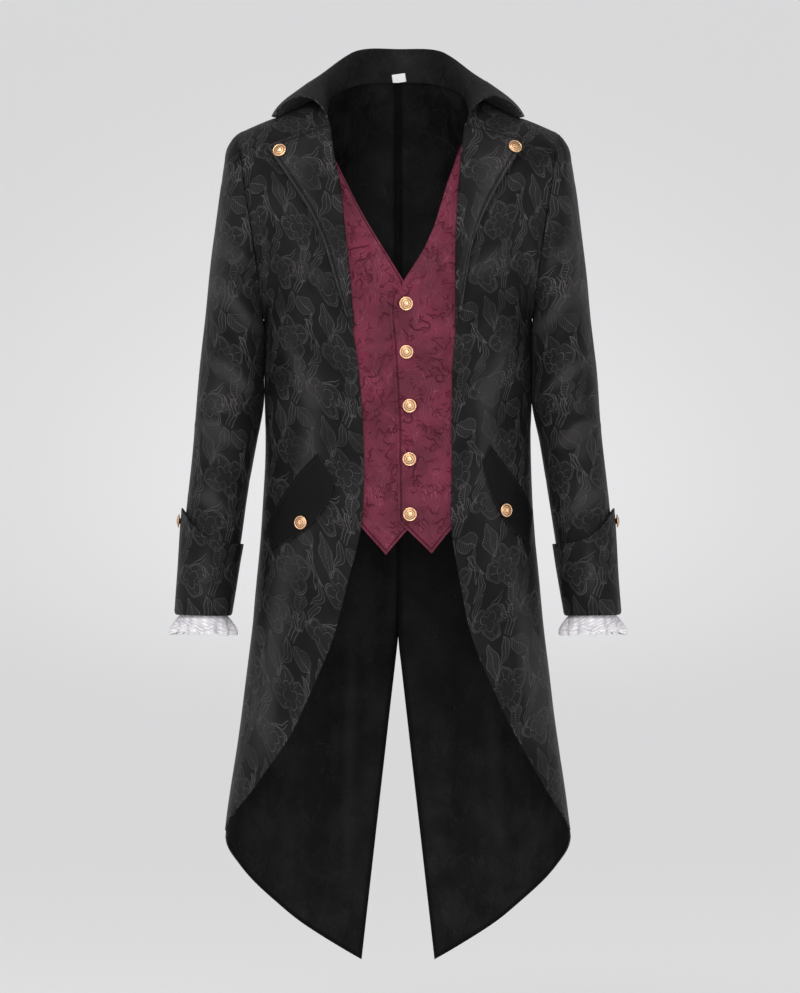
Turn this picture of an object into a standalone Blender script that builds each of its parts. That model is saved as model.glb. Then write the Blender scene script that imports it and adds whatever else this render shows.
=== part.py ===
"""Frock coat: a cut-away tail coat of figured cloth with a sewn-in waistcoat front.

The coat keeps the hollow form of being worn and nobody is in it.
All lengths are in metres, +Z is up, and the front of the coat faces -Y.
The origin is midway between the neck ends of the two shoulder seams, where a wearer carries the coat.
"drop" is the distance straight down from the origin, and side is -1 for the viewer's left and +1 for
the viewer's right. Tables give distances out from the middle of the coat for one side.
"""

import math

import bmesh
import bpy
import numpy
from mathutils import Vector
from mathutils.bvhtree import BVHTree

# ---------------------------------------------------------------- driving dimensions

COAT_WALL = 0.0020        # black coat cloth with its lining
VEST_WALL = 0.0015        # waistcoat cloth
LACE_WALL = 0.0012
SEAM_GAP = 0.0004         # between two pieces that are sewn edge to edge
MIDDLE_GAP = 0.0009       # at the centre-back seam
NECK_GAP = 0.0023         # between the neckline and the collar stand inside it
ARMHOLE_GAP = 0.0007      # below the edge of the sleeve, which laps over the armhole
LAID_GAP = 0.0006         # below a piece that lies on another
LABEL_SIZE = (0.0180, 0.0006, 0.0115)
LABEL_SPOT = (0.0013, -0.0020, 0.0245)   # out, in front of the collar stand, height
LABEL_TILT = (-10, 4)     # degrees back and round

CHEST_DROP = 0.302        # underarm point and chest line
ROUNDNESS = 2.3           # exponent of the body's rings: 2 is an ellipse
ROLL_DROPS = (0.302, 0.240, 0.180, 0.120, 0.085)    # knots of the front's edge above the chest
BACK_DROPS = (0.302, 0.240, 0.170, 0.100, 0.045)    # and of the centre back

# body rings: drop, half width, depth in front of the side seam, depth behind it
BODY = (
    (0.040, 0.1780, 0.0800, 0.1000),
    (0.085, 0.1780, 0.1000, 0.1100),
    (0.130, 0.1770, 0.1100, 0.1160),
    (0.200, 0.1750, 0.1170, 0.1180),
    (0.302, 0.1735, 0.1180, 0.1120),
    (0.400, 0.1732, 0.1130, 0.1000),
    (0.498, 0.1740, 0.1080, 0.0920),
    (0.577, 0.1780, 0.1100, 0.1000),
    (0.682, 0.1875, 0.1160, 0.1140),
    (0.801, 0.2010, 0.1250, 0.1280),
    (0.973, 0.2250, 0.1400, 0.1450),
    (1.160, 0.2400, 0.1500, 0.1600),
)

# front edge: drop, distance out on the viewer's left and right
FRONT_EDGE = (
    (0.046, 0.0930, 0.0905),
    (0.085, 0.0870, 0.0855),
    (0.120, 0.0790, 0.0826),
    (0.180, 0.0717, 0.0790),
    (0.240, 0.0655, 0.0775),
    (0.302, 0.0605, 0.0760),
    (0.360, 0.0518, 0.0712),
    (0.420, 0.0470, 0.0700),
    (0.500, 0.0442, 0.0700),
    (0.575, 0.0485, 0.0695),
    (0.647, 0.0660, 0.0815),
    (0.717, 0.0845, 0.0965),
    (0.785, 0.1122, 0.1247),
    (0.859, 0.1492, 0.1617),
    (0.907, 0.1835, 0.1889),
    (0.950, 0.2165, 0.2150),
)
HEM_TILT = 0.028          # how much lower the front's hem is at the side seam than at the front edge
HEM_TILT_RANGE = (0.3, 1.2)

# neckline from the middle of the back over the shoulder seam to the gorge: share, x, y, height
NECKLINE = (
    (0.00, 0.0000, 0.0780, 0.0215),
    (0.25, 0.0500, 0.0620, 0.0180),
    (0.50, 0.0860, 0.0120, 0.0010),
    (0.75, 0.0945, -0.0360, -0.0220),
    (1.00, 0.0918, -0.0740, -0.0460),
)
SHOULDER_SHARE = 0.5      # share of the neckline at the shoulder seam
NECK_COLUMNS = 0.4        # share of the back's width that ends in the neckline
ROLL_SHARE = 7 / 11       # share of the front's upper edge that lies below the gorge

# armhole: an upright ellipse from the underarm to the shoulder point, x and height
UNDERARM = (0.1735, -0.3020)
SHOULDER_POINT = (0.2105, -0.0585)
ARMHOLE_DEPTH = 0.0820

# tails: share of the way from the vent's edge to the side seam, drop of the hem
TAIL_HEM = (
    (0.00, 1.156),
    (0.14, 1.129),
    (0.28, 1.102),
    (0.42, 1.073),
    (0.57, 1.045),
    (0.73, 1.017),
    (0.86, 0.999),
    (1.00, 0.980),
)
VENT_TOP = 0.565          # where the two back edges part
VENT_APEX = 0.722         # where they cross, seen from the front
VENT_SPREAD = 0.113       # how far a tail's inner edge leans out for each metre of drop
VENT_EASE = 0.070         # drop over which the edges start to lean
PLEAT_DEPTH = 0.010       # how far the viewer's left tail passes behind the right one
PLEAT_WIDTH = 0.038
PLEAT_START = (0.48, 0.60)    # drops between which the pleat opens
PLEAT_END = (0.75, 1.00)      # drops between which it flattens again
PLEAT_LOSS = 0.6              # share of its depth that it loses there
FLUTE_DEPTH = 0.0050      # soft waves round the skirt
FLUTES = 6
FLUTE_RANGE = (0.60, 1.05)    # drops between which the waves grow

# sleeve rings: outer x, height, inner x, height, half depth, how far the middle lies in front
SLEEVE = (
    (0.2118, -0.0555, 0.1791, -0.3070, 0.0850, 0.000),
    (0.2175, -0.0655, 0.1791, -0.3090, 0.0855, 0.000),
    (0.2262, -0.0885, 0.1791, -0.3120, 0.0850, 0.000),
    (0.2343, -0.1430, 0.1791, -0.3200, 0.0835, 0.000),
    (0.2422, -0.2072, 0.1791, -0.3330, 0.0800, 0.000),
    (0.2500, -0.2732, 0.1793, -0.3520, 0.0760, 0.001),
    (0.2567, -0.3392, 0.1794, -0.3780, 0.0720, 0.002),
    (0.2633, -0.4050, 0.1800, -0.4120, 0.0680, 0.004),
    (0.2686, -0.4712, 0.1915, -0.4780, 0.0620, 0.008),
    (0.2758, -0.5370, 0.2026, -0.5450, 0.0565, 0.014),
    (0.2825, -0.6100, 0.2125, -0.6150, 0.0530, 0.020),
    (0.2892, -0.6830, 0.2224, -0.6850, 0.0500, 0.026),
)

SLEEVE_HEAD = 0.09        # share of the sleeve over which its edge leaves the armhole's shape
SLEEVE_SETBACK = 0.0012   # how far the sleeve's edge lies outside the armhole
UNDERARM_SETBACK = 0.0044 # and how much more at the underarm
UNDERARM_SHARPNESS = 6
UNDERARM_LAP_LOSS = 0.6   # share of its lap that it loses there

# cuff rings, top and bottom, in the sleeve's columns
CUFF_TOP = (0.2831, -0.5920, 0.2050, -0.5950, 0.0590, 0.019)
CUFF_BOTTOM = (0.2920, -0.6845, 0.2198, -0.6860, 0.0526, 0.026)
CUFF_PEAK = 0.044         # how far the cuff rises at its outer side
CUFF_PEAK_SHARPNESS = 3

# lace rings, sewn inside the sleeve end and hanging below it
LACE_TOP = (0.2852, -0.6700, 0.2234, -0.6720, 0.0468, 0.025)
LACE_TURN = (0.2862, -0.6880, 0.2250, -0.6890, 0.0466, 0.026)
LACE_HEM = (0.2945, -0.7120, 0.2165, -0.7130, 0.0540, 0.027)
LACE_SEWN = 0.4           # share of the lace that lies flat inside the sleeve end
LACE_WAVES = 11
LACE_WAVE_DEPTH = 0.0042

# collar: share from the middle of the back to the front end, crest x, y, height, outer edge x, y, height
COLLAR = (
    (0.00, 0.0000, 0.0900, 0.0640, 0.0000, 0.1190, -0.0040),
    (0.25, 0.0560, 0.0760, 0.0610, 0.0820, 0.1070, -0.0140),
    (0.50, 0.1000, 0.0340, 0.0300, 0.1400, 0.0660, -0.0290),
    (0.75, 0.1210, -0.0020, 0.0080, 0.1660, 0.0210, -0.0300),
    (1.00, 0.1290, -0.0360, -0.0060, 0.1640, -0.0120, -0.0305),
)
COLLAR_CENTRE = 0.010     # y of the point that the stand's seam edge is moved in towards
COLLAR_LAP = 0.0030       # how far the collar's seam edge reaches down inside the neckline
COLLAR_FLATNESS = 0.45    # of the turned-down part: 0 is round, 1 is flat

# outer edge of each lapel from its tip to where it ends on the front edge: share, x, drop
LAPEL_LEFT = (
    (0.00, 0.1676, 0.0805),
    (0.19, 0.1426, 0.1175),
    (0.42, 0.1135, 0.1637),
    (0.61, 0.0955, 0.2033),
    (0.78, 0.0832, 0.2416),
    (1.00, 0.0660, 0.2980),
)
LAPEL_RIGHT = (
    (0.00, 0.1637, 0.0713),
    (0.20, 0.1386, 0.1135),
    (0.40, 0.1188, 0.1492),
    (0.58, 0.1056, 0.1782),
    (0.76, 0.0937, 0.2125),
    (1.00, 0.0800, 0.2900),
)
LAPEL_SPAN = (0.047, 0.312)   # drops of the roll edge's two ends
LAPEL_INSET = 0.0006      # from the front edge to the lapel's roll edge
LAPEL_LIFT = 0.0030       # how far the lapel's outer edge stands off the front
LAPEL_FULL_WIDTH = 0.05   # narrower than this, it lifts less
LAPEL_TOP_LIFT = 0.0010   # more lift where it crosses the rounded front of the shoulder
LAPEL_TOP_RANGE = (0.046, 0.130)

# waistcoat, with x to the viewer's right: share from top to bottom, x, drop
VEST_LAP = (
    (0.00, 0.0066, 0.2530),
    (0.09, -0.0071, 0.2746),
    (0.30, -0.0066, 0.3419),
    (0.58, -0.0026, 0.4316),
    (0.80, -0.0013, 0.4950),
    (1.00, 0.0005, 0.5650),
)
VEST_UNDERLAP = (
    (0.00, 0.0145, 0.2640),
    (1.00, 0.0150, 0.5730),
)
# necklines from the middle to the hidden outer edge: share, x, drop
VEST_NECK_LEFT = (
    (0.00, 0.0145, 0.2640),
    (0.10, 0.0066, 0.2508),
    (0.46, -0.0462, 0.1637),
    (0.80, -0.0858, 0.0858),
    (1.00, -0.0960, 0.0640),
)
VEST_NECK_RIGHT = (
    (0.00, 0.0066, 0.2530),
    (0.32, 0.0409, 0.1954),
    (0.66, 0.0665, 0.1175),
    (0.86, 0.0850, 0.0700),
    (1.00, 0.0930, 0.0640),
)
# pointed hems from the middle to the hidden outer edge: share, x, drop
VEST_HEM_LEFT = (
    (0.00, 0.0150, 0.5730),
    (0.50, -0.0158, 0.6085),
    (1.00, -0.0570, 0.5640),
)
VEST_HEM_RIGHT = (
    (0.00, 0.0005, 0.5650),
    (0.50, 0.0436, 0.6065),
    (1.00, 0.0780, 0.5650),
)
VEST_HIDDEN = 0.0085      # how far the waistcoat reaches behind the front edge
VEST_CLEARANCE = 0.0010   # between the waistcoat and the inside of the front
VEST_STEP = (-0.035, -0.012)  # x between which the underlap goes behind the overlap

# pocket flaps, seen from the front: share along the flap, sewn edge x, drop, free edge x, drop
FLAP_LEFT = (
    (0.00, 0.1030, 0.4757, 0.0820, 0.5130),
    (0.33, 0.1350, 0.5130, 0.0900, 0.5400),
    (0.66, 0.1580, 0.5480, 0.1190, 0.5768),
    (1.00, 0.1690, 0.5729, 0.1620, 0.6010),
)
FLAP_RIGHT = (
    (0.00, 0.1171, 0.4652, 0.1064, 0.4880),
    (0.33, 0.1420, 0.4970, 0.1160, 0.5230),
    (0.66, 0.1600, 0.5230, 0.1370, 0.5640),
    (1.00, 0.1738, 0.5520, 0.1670, 0.5960),
)

FLAP_LIFT = 0.0012        # how far a flap's free edge stands off

# buttons: distance out or x, drop
VEST_BUTTONS = ((0.0106, 0.2817), (0.0110, 0.3445), (0.0150, 0.4145), (0.0148, 0.4838), (0.0156, 0.5557))
LAPEL_BUTTONS = {-1: (0.1510, 0.0860), 1: (0.1492, 0.0815)}
FLAP_BUTTONS = {-1: (0.1225, 0.5671), 1: (0.1365, 0.5510)}
CUFF_BUTTON_DROP = 0.565
CUFF_BUTTON_LEAN = 0.06

# half of a button's section from the top of its dome to the foot of its shank: radius, height
BUTTON_SECTION = (
    (0.0000, 0.0050),
    (0.0045, 0.0044),
    (0.0075, 0.0031),
    (0.0084, 0.0033),
    (0.0090, 0.0024),
    (0.0036, 0.0012),
    (0.0036, 0.0000),
    (0.0000, 0.0000),
)
BUTTON_STEPS = 12

SIDES = {-1: "left", 1: "right"}
BLACK_CLOTH = ((0.018, 0.016, 0.018), 0.50, 0.0)
BLACK_SATIN = ((0.012, 0.012, 0.013), 0.36, 0.0)
BURGUNDY_CLOTH = ((0.190, 0.033, 0.060), 0.46, 0.0)
WHITE_LACE = ((0.85, 0.85, 0.84), 0.80, 0.0)
WHITE_LABEL = ((0.82, 0.82, 0.80), 0.70, 0.0)
BRASS = ((0.83, 0.58, 0.30), 0.28, 1.0)


# ---------------------------------------------------------------- tables and curves

def smooth(rows, at):
    """Values of a table at one value of its first column, on a smooth curve through its rows."""
    table = numpy.array(rows)
    knots, values = table[:, 0], table[:, 1:]
    at = min(max(at, knots[0]), knots[-1])
    slopes = numpy.gradient(values, knots, axis=0)
    low = min(int(numpy.searchsorted(knots, at, side="right")) - 1, len(knots) - 2)
    step = knots[low + 1] - knots[low]
    t = (at - knots[low]) / step
    return (
        (2 * t ** 3 - 3 * t ** 2 + 1) * values[low]
        + (t ** 3 - 2 * t ** 2 + t) * step * slopes[low]
        + (3 * t ** 2 - 2 * t ** 3) * values[low + 1]
        + (t ** 3 - t ** 2) * step * slopes[low + 1]
    )


def straight(rows, at):
    """Values of a table at one value of its first column, with straight lines between its rows."""
    table = numpy.array(rows)
    return numpy.array([numpy.interp(at, table[:, 0], column) for column in table[:, 1:].T])


def by_length(points):
    """A table of points whose first column is the share of the length run so far."""
    points = [numpy.array(point) for point in points]
    run = [0.0]
    for before, after in zip(points, points[1:]):
        run.append(run[-1] + float(numpy.linalg.norm(after - before)))
    return [(length / run[-1], *point) for length, point in zip(run, points)]


def mirrored(rows, odd):
    """A table from -1 to 1 out of one from 0 to 1; the columns listed in odd change sign."""
    signs = [-1 if column in odd else 1 for column in range(len(rows[0]))]
    other = [tuple(value * sign for value, sign in zip(row, signs)) for row in reversed(rows[1:])]
    return other + list(rows)


def ease(t):
    """A soft start and a soft stop between 0 and 1."""
    t = min(max(t, 0.0), 1.0)
    return t * t * (3 - 2 * t)


def ramp(value, start, end):
    return ease((value - start) / (end - start))


def mix(a, b, t):
    return a + (b - a) * t


def patch(bottom, top, left, right, share, rise):
    """A point inside four edge curves, which meet at their ends (a Coons patch)."""
    lift = ease(rise)
    across = mix(bottom(share), top(share), lift)
    along = mix(left(rise), right(rise), share)
    corners = mix(mix(bottom(0), bottom(1), share), mix(top(0), top(1), share), lift)
    return across + along - corners


# ---------------------------------------------------------------- the body of the coat

def ring_angle(out, drop):
    """How far round the ring a point lies, from the middle line to the side seam."""
    half_width = smooth(BODY, drop)[0]
    share = min(abs(out) / half_width, 1.0) ** (ROUNDNESS / 2)
    return math.copysign(math.asin(share), out)


def ring_point(side, angle, drop, behind):
    half_width, front, back = smooth(BODY, drop)
    power = 2 / ROUNDNESS
    out = math.copysign(half_width * abs(math.sin(angle)) ** power, angle)
    depth = max(math.cos(angle), 0.0) ** power
    flute = FLUTE_DEPTH * ramp(drop, *FLUTE_RANGE) * math.sin(FLUTES * abs(angle))
    y = back * depth if behind else -front * depth
    y += flute * (1 if behind else -0.5) * math.cos(angle)
    return numpy.array((side * out, y, -drop))


def front_depth(x, drop):
    half_width, front, _ = smooth(BODY, drop)
    share = min(abs(x) / half_width, 1.0)
    return -front * (1 - share ** ROUNDNESS) ** (1 / ROUNDNESS)


def neck_point(side, share):
    x, y, height = smooth(mirrored(NECKLINE, (0, 1)), share)
    return numpy.array((side * x, y, height))


def armhole_point(side, angle):
    """Angle 0 is the underarm, a quarter turn is in front and half a turn is the shoulder point."""
    low, high = numpy.array(UNDERARM), numpy.array(SHOULDER_POINT)
    x, height = (low + high) / 2 + (low - high) / 2 * math.cos(angle)
    return numpy.array((side * x, -ARMHOLE_DEPTH * math.sin(angle), height))


def shoulder_seam(side, share):
    tip = armhole_point(side, math.pi)
    return mix(neck_point(side, SHOULDER_SHARE), tip, share)


def edge_out(side, drop):
    return smooth(FRONT_EDGE, drop)[0 if side < 0 else 1]


def front_roll(side):
    """The front's edge from the chest line up to the gorge, then the neckline to the shoulder seam."""
    points = []
    for drop in ROLL_DROPS:
        out = edge_out(side, drop)
        points.append((side * out, front_depth(out, drop), -drop))
    points.append(neck_point(side, 1.0))
    rows = [(run * ROLL_SHARE, *point) for run, *point in by_length(points)]
    for run in (0.25, 0.5, 0.75, 1.0):
        rows.append((mix(ROLL_SHARE, 1, run), *neck_point(side, mix(1, SHOULDER_SHARE, run))))
    return rows


FRONT_ROLLS = {side: front_roll(side) for side in SIDES}


def front_point(side, share, level):
    """share runs from the front edge to the side; level from 0 at the hem over 1 at the chest to 2."""
    if level <= 1:
        fall = 1 - level
        drop = mix(CHEST_DROP, FRONT_EDGE[-1][0], fall)
        start = ring_angle(edge_out(side, drop), drop)
        drop += HEM_TILT * share * ramp(fall, *HEM_TILT_RANGE)
        point = ring_point(side, mix(start, math.pi / 2, share), drop, behind=False)
    else:
        start = ring_angle(edge_out(side, CHEST_DROP), CHEST_DROP)
        point = patch(
            lambda s: ring_point(side, mix(start, math.pi / 2, s), CHEST_DROP, behind=False),
            lambda s: shoulder_seam(side, s),
            lambda t: smooth(FRONT_ROLLS[side], t),
            lambda t: armhole_point(side, math.pi * ease(t)),
            share,
            level - 1,
        )
    return Vector(point) + Vector((0, -SEAM_GAP / 2, 0))


def vent_out(side, drop):
    """How far out from the middle a back half's inner edge lies."""
    lean = (drop - VENT_APEX) * VENT_SPREAD
    if side > 0:
        return max(lean, 0.0)
    return lean * ramp(drop, VENT_TOP, VENT_TOP + VENT_EASE)


def back_top(side, share):
    if share < NECK_COLUMNS:
        return neck_point(side, share / NECK_COLUMNS * SHOULDER_SHARE)
    return shoulder_seam(side, (share - NECK_COLUMNS) / (1 - NECK_COLUMNS))


def back_middle(side, rise):
    points = [(0, smooth(BODY, drop)[2], -drop) for drop in BACK_DROPS]
    return smooth(by_length(points + [neck_point(side, 0)]), rise)


def back_point(side, share, level):
    """share runs from the middle of the back to the side; level as in front_point."""
    if level <= 1:
        hem = smooth(TAIL_HEM, share)[0]
        drop = mix(CHEST_DROP, hem, 1 - level)
        start = ring_angle(vent_out(side, drop), drop)
        point = ring_point(side, mix(start, math.pi / 2, share), drop, behind=True)
    else:
        point = patch(
            lambda s: ring_point(side, s * math.pi / 2, CHEST_DROP, behind=True),
            lambda s: back_top(side, s),
            lambda t: back_middle(side, t),
            lambda t: armhole_point(side, -math.pi * ease(t)),
            share,
            level - 1,
        )
    if side < 0:
        near = 1 - ramp(-point[0], 0.0, PLEAT_WIDTH)
        opened = ramp(-point[2], *PLEAT_START) * (1 - PLEAT_LOSS * ramp(-point[2], *PLEAT_END))
        point[1] += PLEAT_DEPTH * near * opened
    return Vector(point) + Vector((side * MIDDLE_GAP / 2, SEAM_GAP / 2, 0))


# ---------------------------------------------------------------- sleeves, cuffs and lace

def tube_ring(side, ring, angle):
    """A point on an upright tube's ring; angle 0 is its inner side and half a turn its outer side."""
    outer_x, outer_height, inner_x, inner_height, half_depth, forward = ring
    swing = (1 - math.cos(angle)) / 2
    x = mix(inner_x, outer_x, swing)
    height = mix(inner_height, outer_height, swing)
    return numpy.array((side * x, -half_depth * math.sin(angle) - forward, height))


def tube_angle(turn):
    """Angle round a tube whose points crowd at the underarm and shoulder as the armhole's do."""
    half = turn * 2
    return math.pi * (ease(half) if half <= 1 else 1 + ease(half - 1))


def sleeve_edge(side, angle):
    """The sleeve's edge, just outside the armhole and lapped over it."""
    lap = COAT_WALL + ARMHOLE_GAP
    inner = (1 + math.cos(angle)) / 2
    out = SLEEVE_SETBACK + UNDERARM_SETBACK * inner ** UNDERARM_SHARPNESS
    down = lap * math.cos(angle) * (1 - UNDERARM_LAP_LOSS * inner)
    return armhole_point(side, angle) + numpy.array((side * out, -lap * math.sin(angle), -down))


def sleeve_point(side, turn, run):
    rows = [(index / (len(SLEEVE) - 1), *ring) for index, ring in enumerate(SLEEVE)]
    angle = tube_angle(turn)
    start = sleeve_edge(side, angle) - tube_ring(side, SLEEVE[0], angle)
    return Vector(tube_ring(side, smooth(rows, run), angle) + start * (1 - ramp(run, 0.0, SLEEVE_HEAD)))


def cuff_point(side, turn, run):
    angle = turn * 2 * math.pi
    ring = mix(numpy.array(CUFF_TOP), numpy.array(CUFF_BOTTOM), run)
    point = Vector(tube_ring(side, ring, angle))
    point.z += CUFF_PEAK * ((1 - math.cos(angle)) / 2) ** CUFF_PEAK_SHARPNESS * (1 - run)
    return point


def lace_point(side, turn, run):
    angle = turn * 2 * math.pi
    rows = ((0.0, *LACE_TOP), (LACE_SEWN, *LACE_TURN), (1.0, *LACE_HEM))
    ring = straight(rows, run)
    point = Vector(tube_ring(side, ring, angle))
    middle = Vector((side * (ring[0] + ring[2]) / 2, -ring[5], point.z))
    wave = LACE_WAVE_DEPTH * ramp(run, LACE_SEWN, 1.0) * math.sin(LACE_WAVES * angle)
    return point + (point - middle).normalized() * wave


# ---------------------------------------------------------------- collar

def collar_point(turn, run):
    """turn runs from -1 at the left end to 1; run from the neck seam over the crest to the edge."""
    seam = neck_point(1, turn)
    inward = Vector((-seam[0], COLLAR_CENTRE - seam[1], 0)).normalized() * (COAT_WALL + NECK_GAP)
    seam = seam + numpy.array((inward.x, inward.y, -COLLAR_LAP))
    row = smooth(mirrored(COLLAR, (0, 1, 4)), turn)
    crest, edge = row[:3], row[3:]
    angle = math.pi * run
    if run < 0.5:
        out, up = 1 - math.cos(angle), math.sin(angle)
        start, end = seam, crest
    else:
        out, up = -math.cos(angle), 1 - math.sin(angle)
        flat = 2 * run - 1
        out, up = mix(out, flat, COLLAR_FLATNESS), mix(up, flat, COLLAR_FLATNESS)
        start, end = crest, edge
    return Vector((mix(start[0], end[0], out), mix(start[1], end[1], out), mix(start[2], end[2], up)))


# ---------------------------------------------------------------- pieces that lie on a front

def skin(point, side, columns=60, rows=120):
    """A fine copy of a panel to lay other pieces on."""
    spots = [
        point(side, column / columns, 2 * row / rows)
        for row in range(rows + 1)
        for column in range(columns + 1)
    ]
    quads = []
    for row in range(rows):
        for column in range(columns):
            first = row * (columns + 1) + column
            quads.append((first, first + 1, first + columns + 2, first + columns + 1))
    return BVHTree.FromPolygons(spots, quads)


FRONT_SKINS = {side: skin(front_point, side) for side in SIDES}


def lay(side, out, drop, lift):
    """A point of a front, found from ahead of it, moved out of the cloth."""
    spot, normal, _, _ = FRONT_SKINS[side].ray_cast(Vector((side * out, -1, -drop)), Vector((0, 1, 0)))
    if spot is None:
        guess = Vector((side * out, front_depth(out, drop), -drop))
        spot, normal, _, _ = FRONT_SKINS[side].find_nearest(guess)
    if normal.y > 0:
        normal = -normal
    return spot + normal * lift


def lapel_point(side, share, run):
    roll_drop = mix(*LAPEL_SPAN, run)
    roll = numpy.array((edge_out(side, roll_drop) + LAPEL_INSET, roll_drop))
    outer = smooth(LAPEL_LEFT if side < 0 else LAPEL_RIGHT, run)
    out, drop = mix(roll, outer, share)
    width = float(numpy.linalg.norm(outer - roll))
    lift = COAT_WALL + LAID_GAP + LAPEL_LIFT * ease(share) * ramp(width, 0.0, LAPEL_FULL_WIDTH)
    lift += LAPEL_TOP_LIFT * (1 - ramp(drop, *LAPEL_TOP_RANGE))
    return lay(side, out, drop, lift)


def flap_point(side, along, across):
    row = smooth(FLAP_LEFT if side < 0 else FLAP_RIGHT, along)
    out, drop = mix(row[:2], row[2:], across)
    return lay(side, out, drop, COAT_WALL + LAID_GAP + FLAP_LIFT * across)


# ---------------------------------------------------------------- waistcoat front

def vest_point(side, share, fall):
    """share runs from the middle to the edge hidden behind the front; fall from neckline to hem."""
    middle = VEST_LAP if side > 0 else VEST_UNDERLAP
    neck = VEST_NECK_RIGHT if side > 0 else VEST_NECK_LEFT
    hem = VEST_HEM_RIGHT if side > 0 else VEST_HEM_LEFT

    def hidden(t):
        drop = mix(neck[-1][2], hem[-1][2], t)
        return numpy.array((side * (edge_out(side, drop) + VEST_HIDDEN), drop))

    hem_end, neck_end = hidden(1), hidden(0)
    hem_rows = (*hem[:-1], (1.0, *hem_end))
    neck_rows = (*neck[:-1], (1.0, *neck_end))
    across = mix(smooth(neck_rows, share), straight(hem_rows, share), fall)
    along = mix(smooth(middle, fall), hidden(fall), share)
    top = mix(numpy.array(neck_rows[0][1:]), neck_end, share)
    bottom = mix(numpy.array(hem_rows[0][1:]), hem_end, share)
    x, drop = across + along - mix(top, bottom, fall)
    back = VEST_CLEARANCE + VEST_WALL
    if side < 0:
        back += (VEST_WALL + SEAM_GAP) * ramp(x, *VEST_STEP)
    return Vector((x, front_depth(x, drop) + back, -drop))


# ---------------------------------------------------------------- building

def material(name, finish):
    colour, roughness, metallic = finish
    result = bpy.data.materials.new(name)
    result.use_nodes = True
    shader = result.node_tree.nodes["Principled BSDF"]
    shader.inputs["Base Color"].default_value = (*colour, 1.0)
    shader.inputs["Roughness"].default_value = roughness
    shader.inputs["Metallic"].default_value = metallic
    return result


def add_object(name, mesh, finish, collection):
    result = bpy.data.objects.new(name, mesh)
    mesh.materials.append(material(name, finish))
    collection.objects.link(result)
    return result


def cloth(name, point, columns, rows, wall, finish, collection, flip=False, tube=False):
    """A sheet shaped by point(share across, share along), given its thickness on the outer side."""
    bm = bmesh.new()
    bmesh.ops.create_grid(bm, x_segments=columns, y_segments=rows, size=0.5)
    for vert in bm.verts:
        vert.co = point(vert.co.x + 0.5, vert.co.y + 0.5)
    if tube:
        bmesh.ops.remove_doubles(bm, verts=bm.verts, dist=0.000001)
    if flip:
        bmesh.ops.reverse_faces(bm, faces=bm.faces)
    mesh = bpy.data.meshes.new(name)
    bm.to_mesh(mesh)
    bm.free()
    mesh.shade_smooth()
    result = add_object(name, mesh, finish, collection)
    thickness = result.modifiers.new("Cloth thickness", "SOLIDIFY")
    thickness.thickness = wall
    thickness.offset = 1.0
    return result


def button(name, spot, normal, collection):
    """A domed metal button on its shank, turned to the cloth that it is sewn to."""
    bm = bmesh.new()
    verts = [bm.verts.new((radius, 0, height)) for radius, height in BUTTON_SECTION]
    for upper, lower in zip(verts, verts[1:]):
        bm.edges.new((upper, lower))
    mesh = bpy.data.meshes.new(name)
    bm.to_mesh(mesh)
    bm.free()
    result = add_object(name, mesh, BRASS, collection)
    turn = result.modifiers.new("Turned", "SCREW")
    turn.steps = BUTTON_STEPS
    turn.render_steps = BUTTON_STEPS
    turn.use_merge_vertices = True
    turn.merge_threshold = 0.00001
    result.rotation_euler = normal.to_track_quat("Z", "Y").to_euler()
    result.location = spot
    return result


def add_body(collection):
    for side, word in SIDES.items():
        cloth(f"back_{word}", lambda s, t: back_point(side, s, 2 * t), 10, 22,
              COAT_WALL, BLACK_CLOTH, collection, flip=side > 0)
        cloth(f"front_{word}", lambda s, t: front_point(side, s, 2 * t), 10, 22,
              COAT_WALL, BLACK_CLOTH, collection, flip=side < 0)


def add_sleeves(collection):
    for side, word in SIDES.items():
        cloth(f"sleeve_{word}", lambda s, t: sleeve_point(side, s, t), 22, 13,
              COAT_WALL, BLACK_CLOTH, collection, flip=side > 0, tube=True)
        cloth(f"cuff_{word}", lambda s, t: cuff_point(side, s, t), 22, 4,
              COAT_WALL, BLACK_CLOTH, collection, flip=side > 0, tube=True)
        cloth(f"lace_{word}", lambda s, t: lace_point(side, s, t), 5 * LACE_WAVES, 3,
              LACE_WALL, WHITE_LACE, collection, flip=side > 0, tube=True)


def add_collar(collection):
    cloth("collar", lambda s, t: collar_point(2 * s - 1, t), 32, 8,
          COAT_WALL, BLACK_CLOTH, collection, flip=True)
    width, depth, height = LABEL_SIZE
    bm = bmesh.new()
    bmesh.ops.create_cube(bm, size=1.0)
    for vert in bm.verts:
        vert.co = Vector((vert.co.x * width, vert.co.y * depth, vert.co.z * height))
    mesh = bpy.data.meshes.new("label")
    bm.to_mesh(mesh)
    bm.free()
    result = add_object("label", mesh, WHITE_LABEL, collection)
    out, ahead, up = LABEL_SPOT
    result.location = (out, collar_point(0, 0.05).y + ahead, up)
    result.rotation_euler = (math.radians(LABEL_TILT[0]), math.radians(LABEL_TILT[1]), 0)


def add_lapels_and_flaps(collection):
    for side, word in SIDES.items():
        cloth(f"lapel_{word}", lambda s, t: lapel_point(side, s, t), 8, 14,
              COAT_WALL, BLACK_CLOTH, collection, flip=side > 0)
        cloth(f"pocket_flap_{word}", lambda s, t: flap_point(side, s, t), 10, 4,
              COAT_WALL, BLACK_SATIN, collection, flip=side > 0)


def add_vest(collection):
    for side, word in SIDES.items():
        cloth(f"vest_{word}", lambda s, t: vest_point(side, s, t), 8, 18,
              VEST_WALL, BURGUNDY_CLOTH, collection, flip=side > 0)


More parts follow.
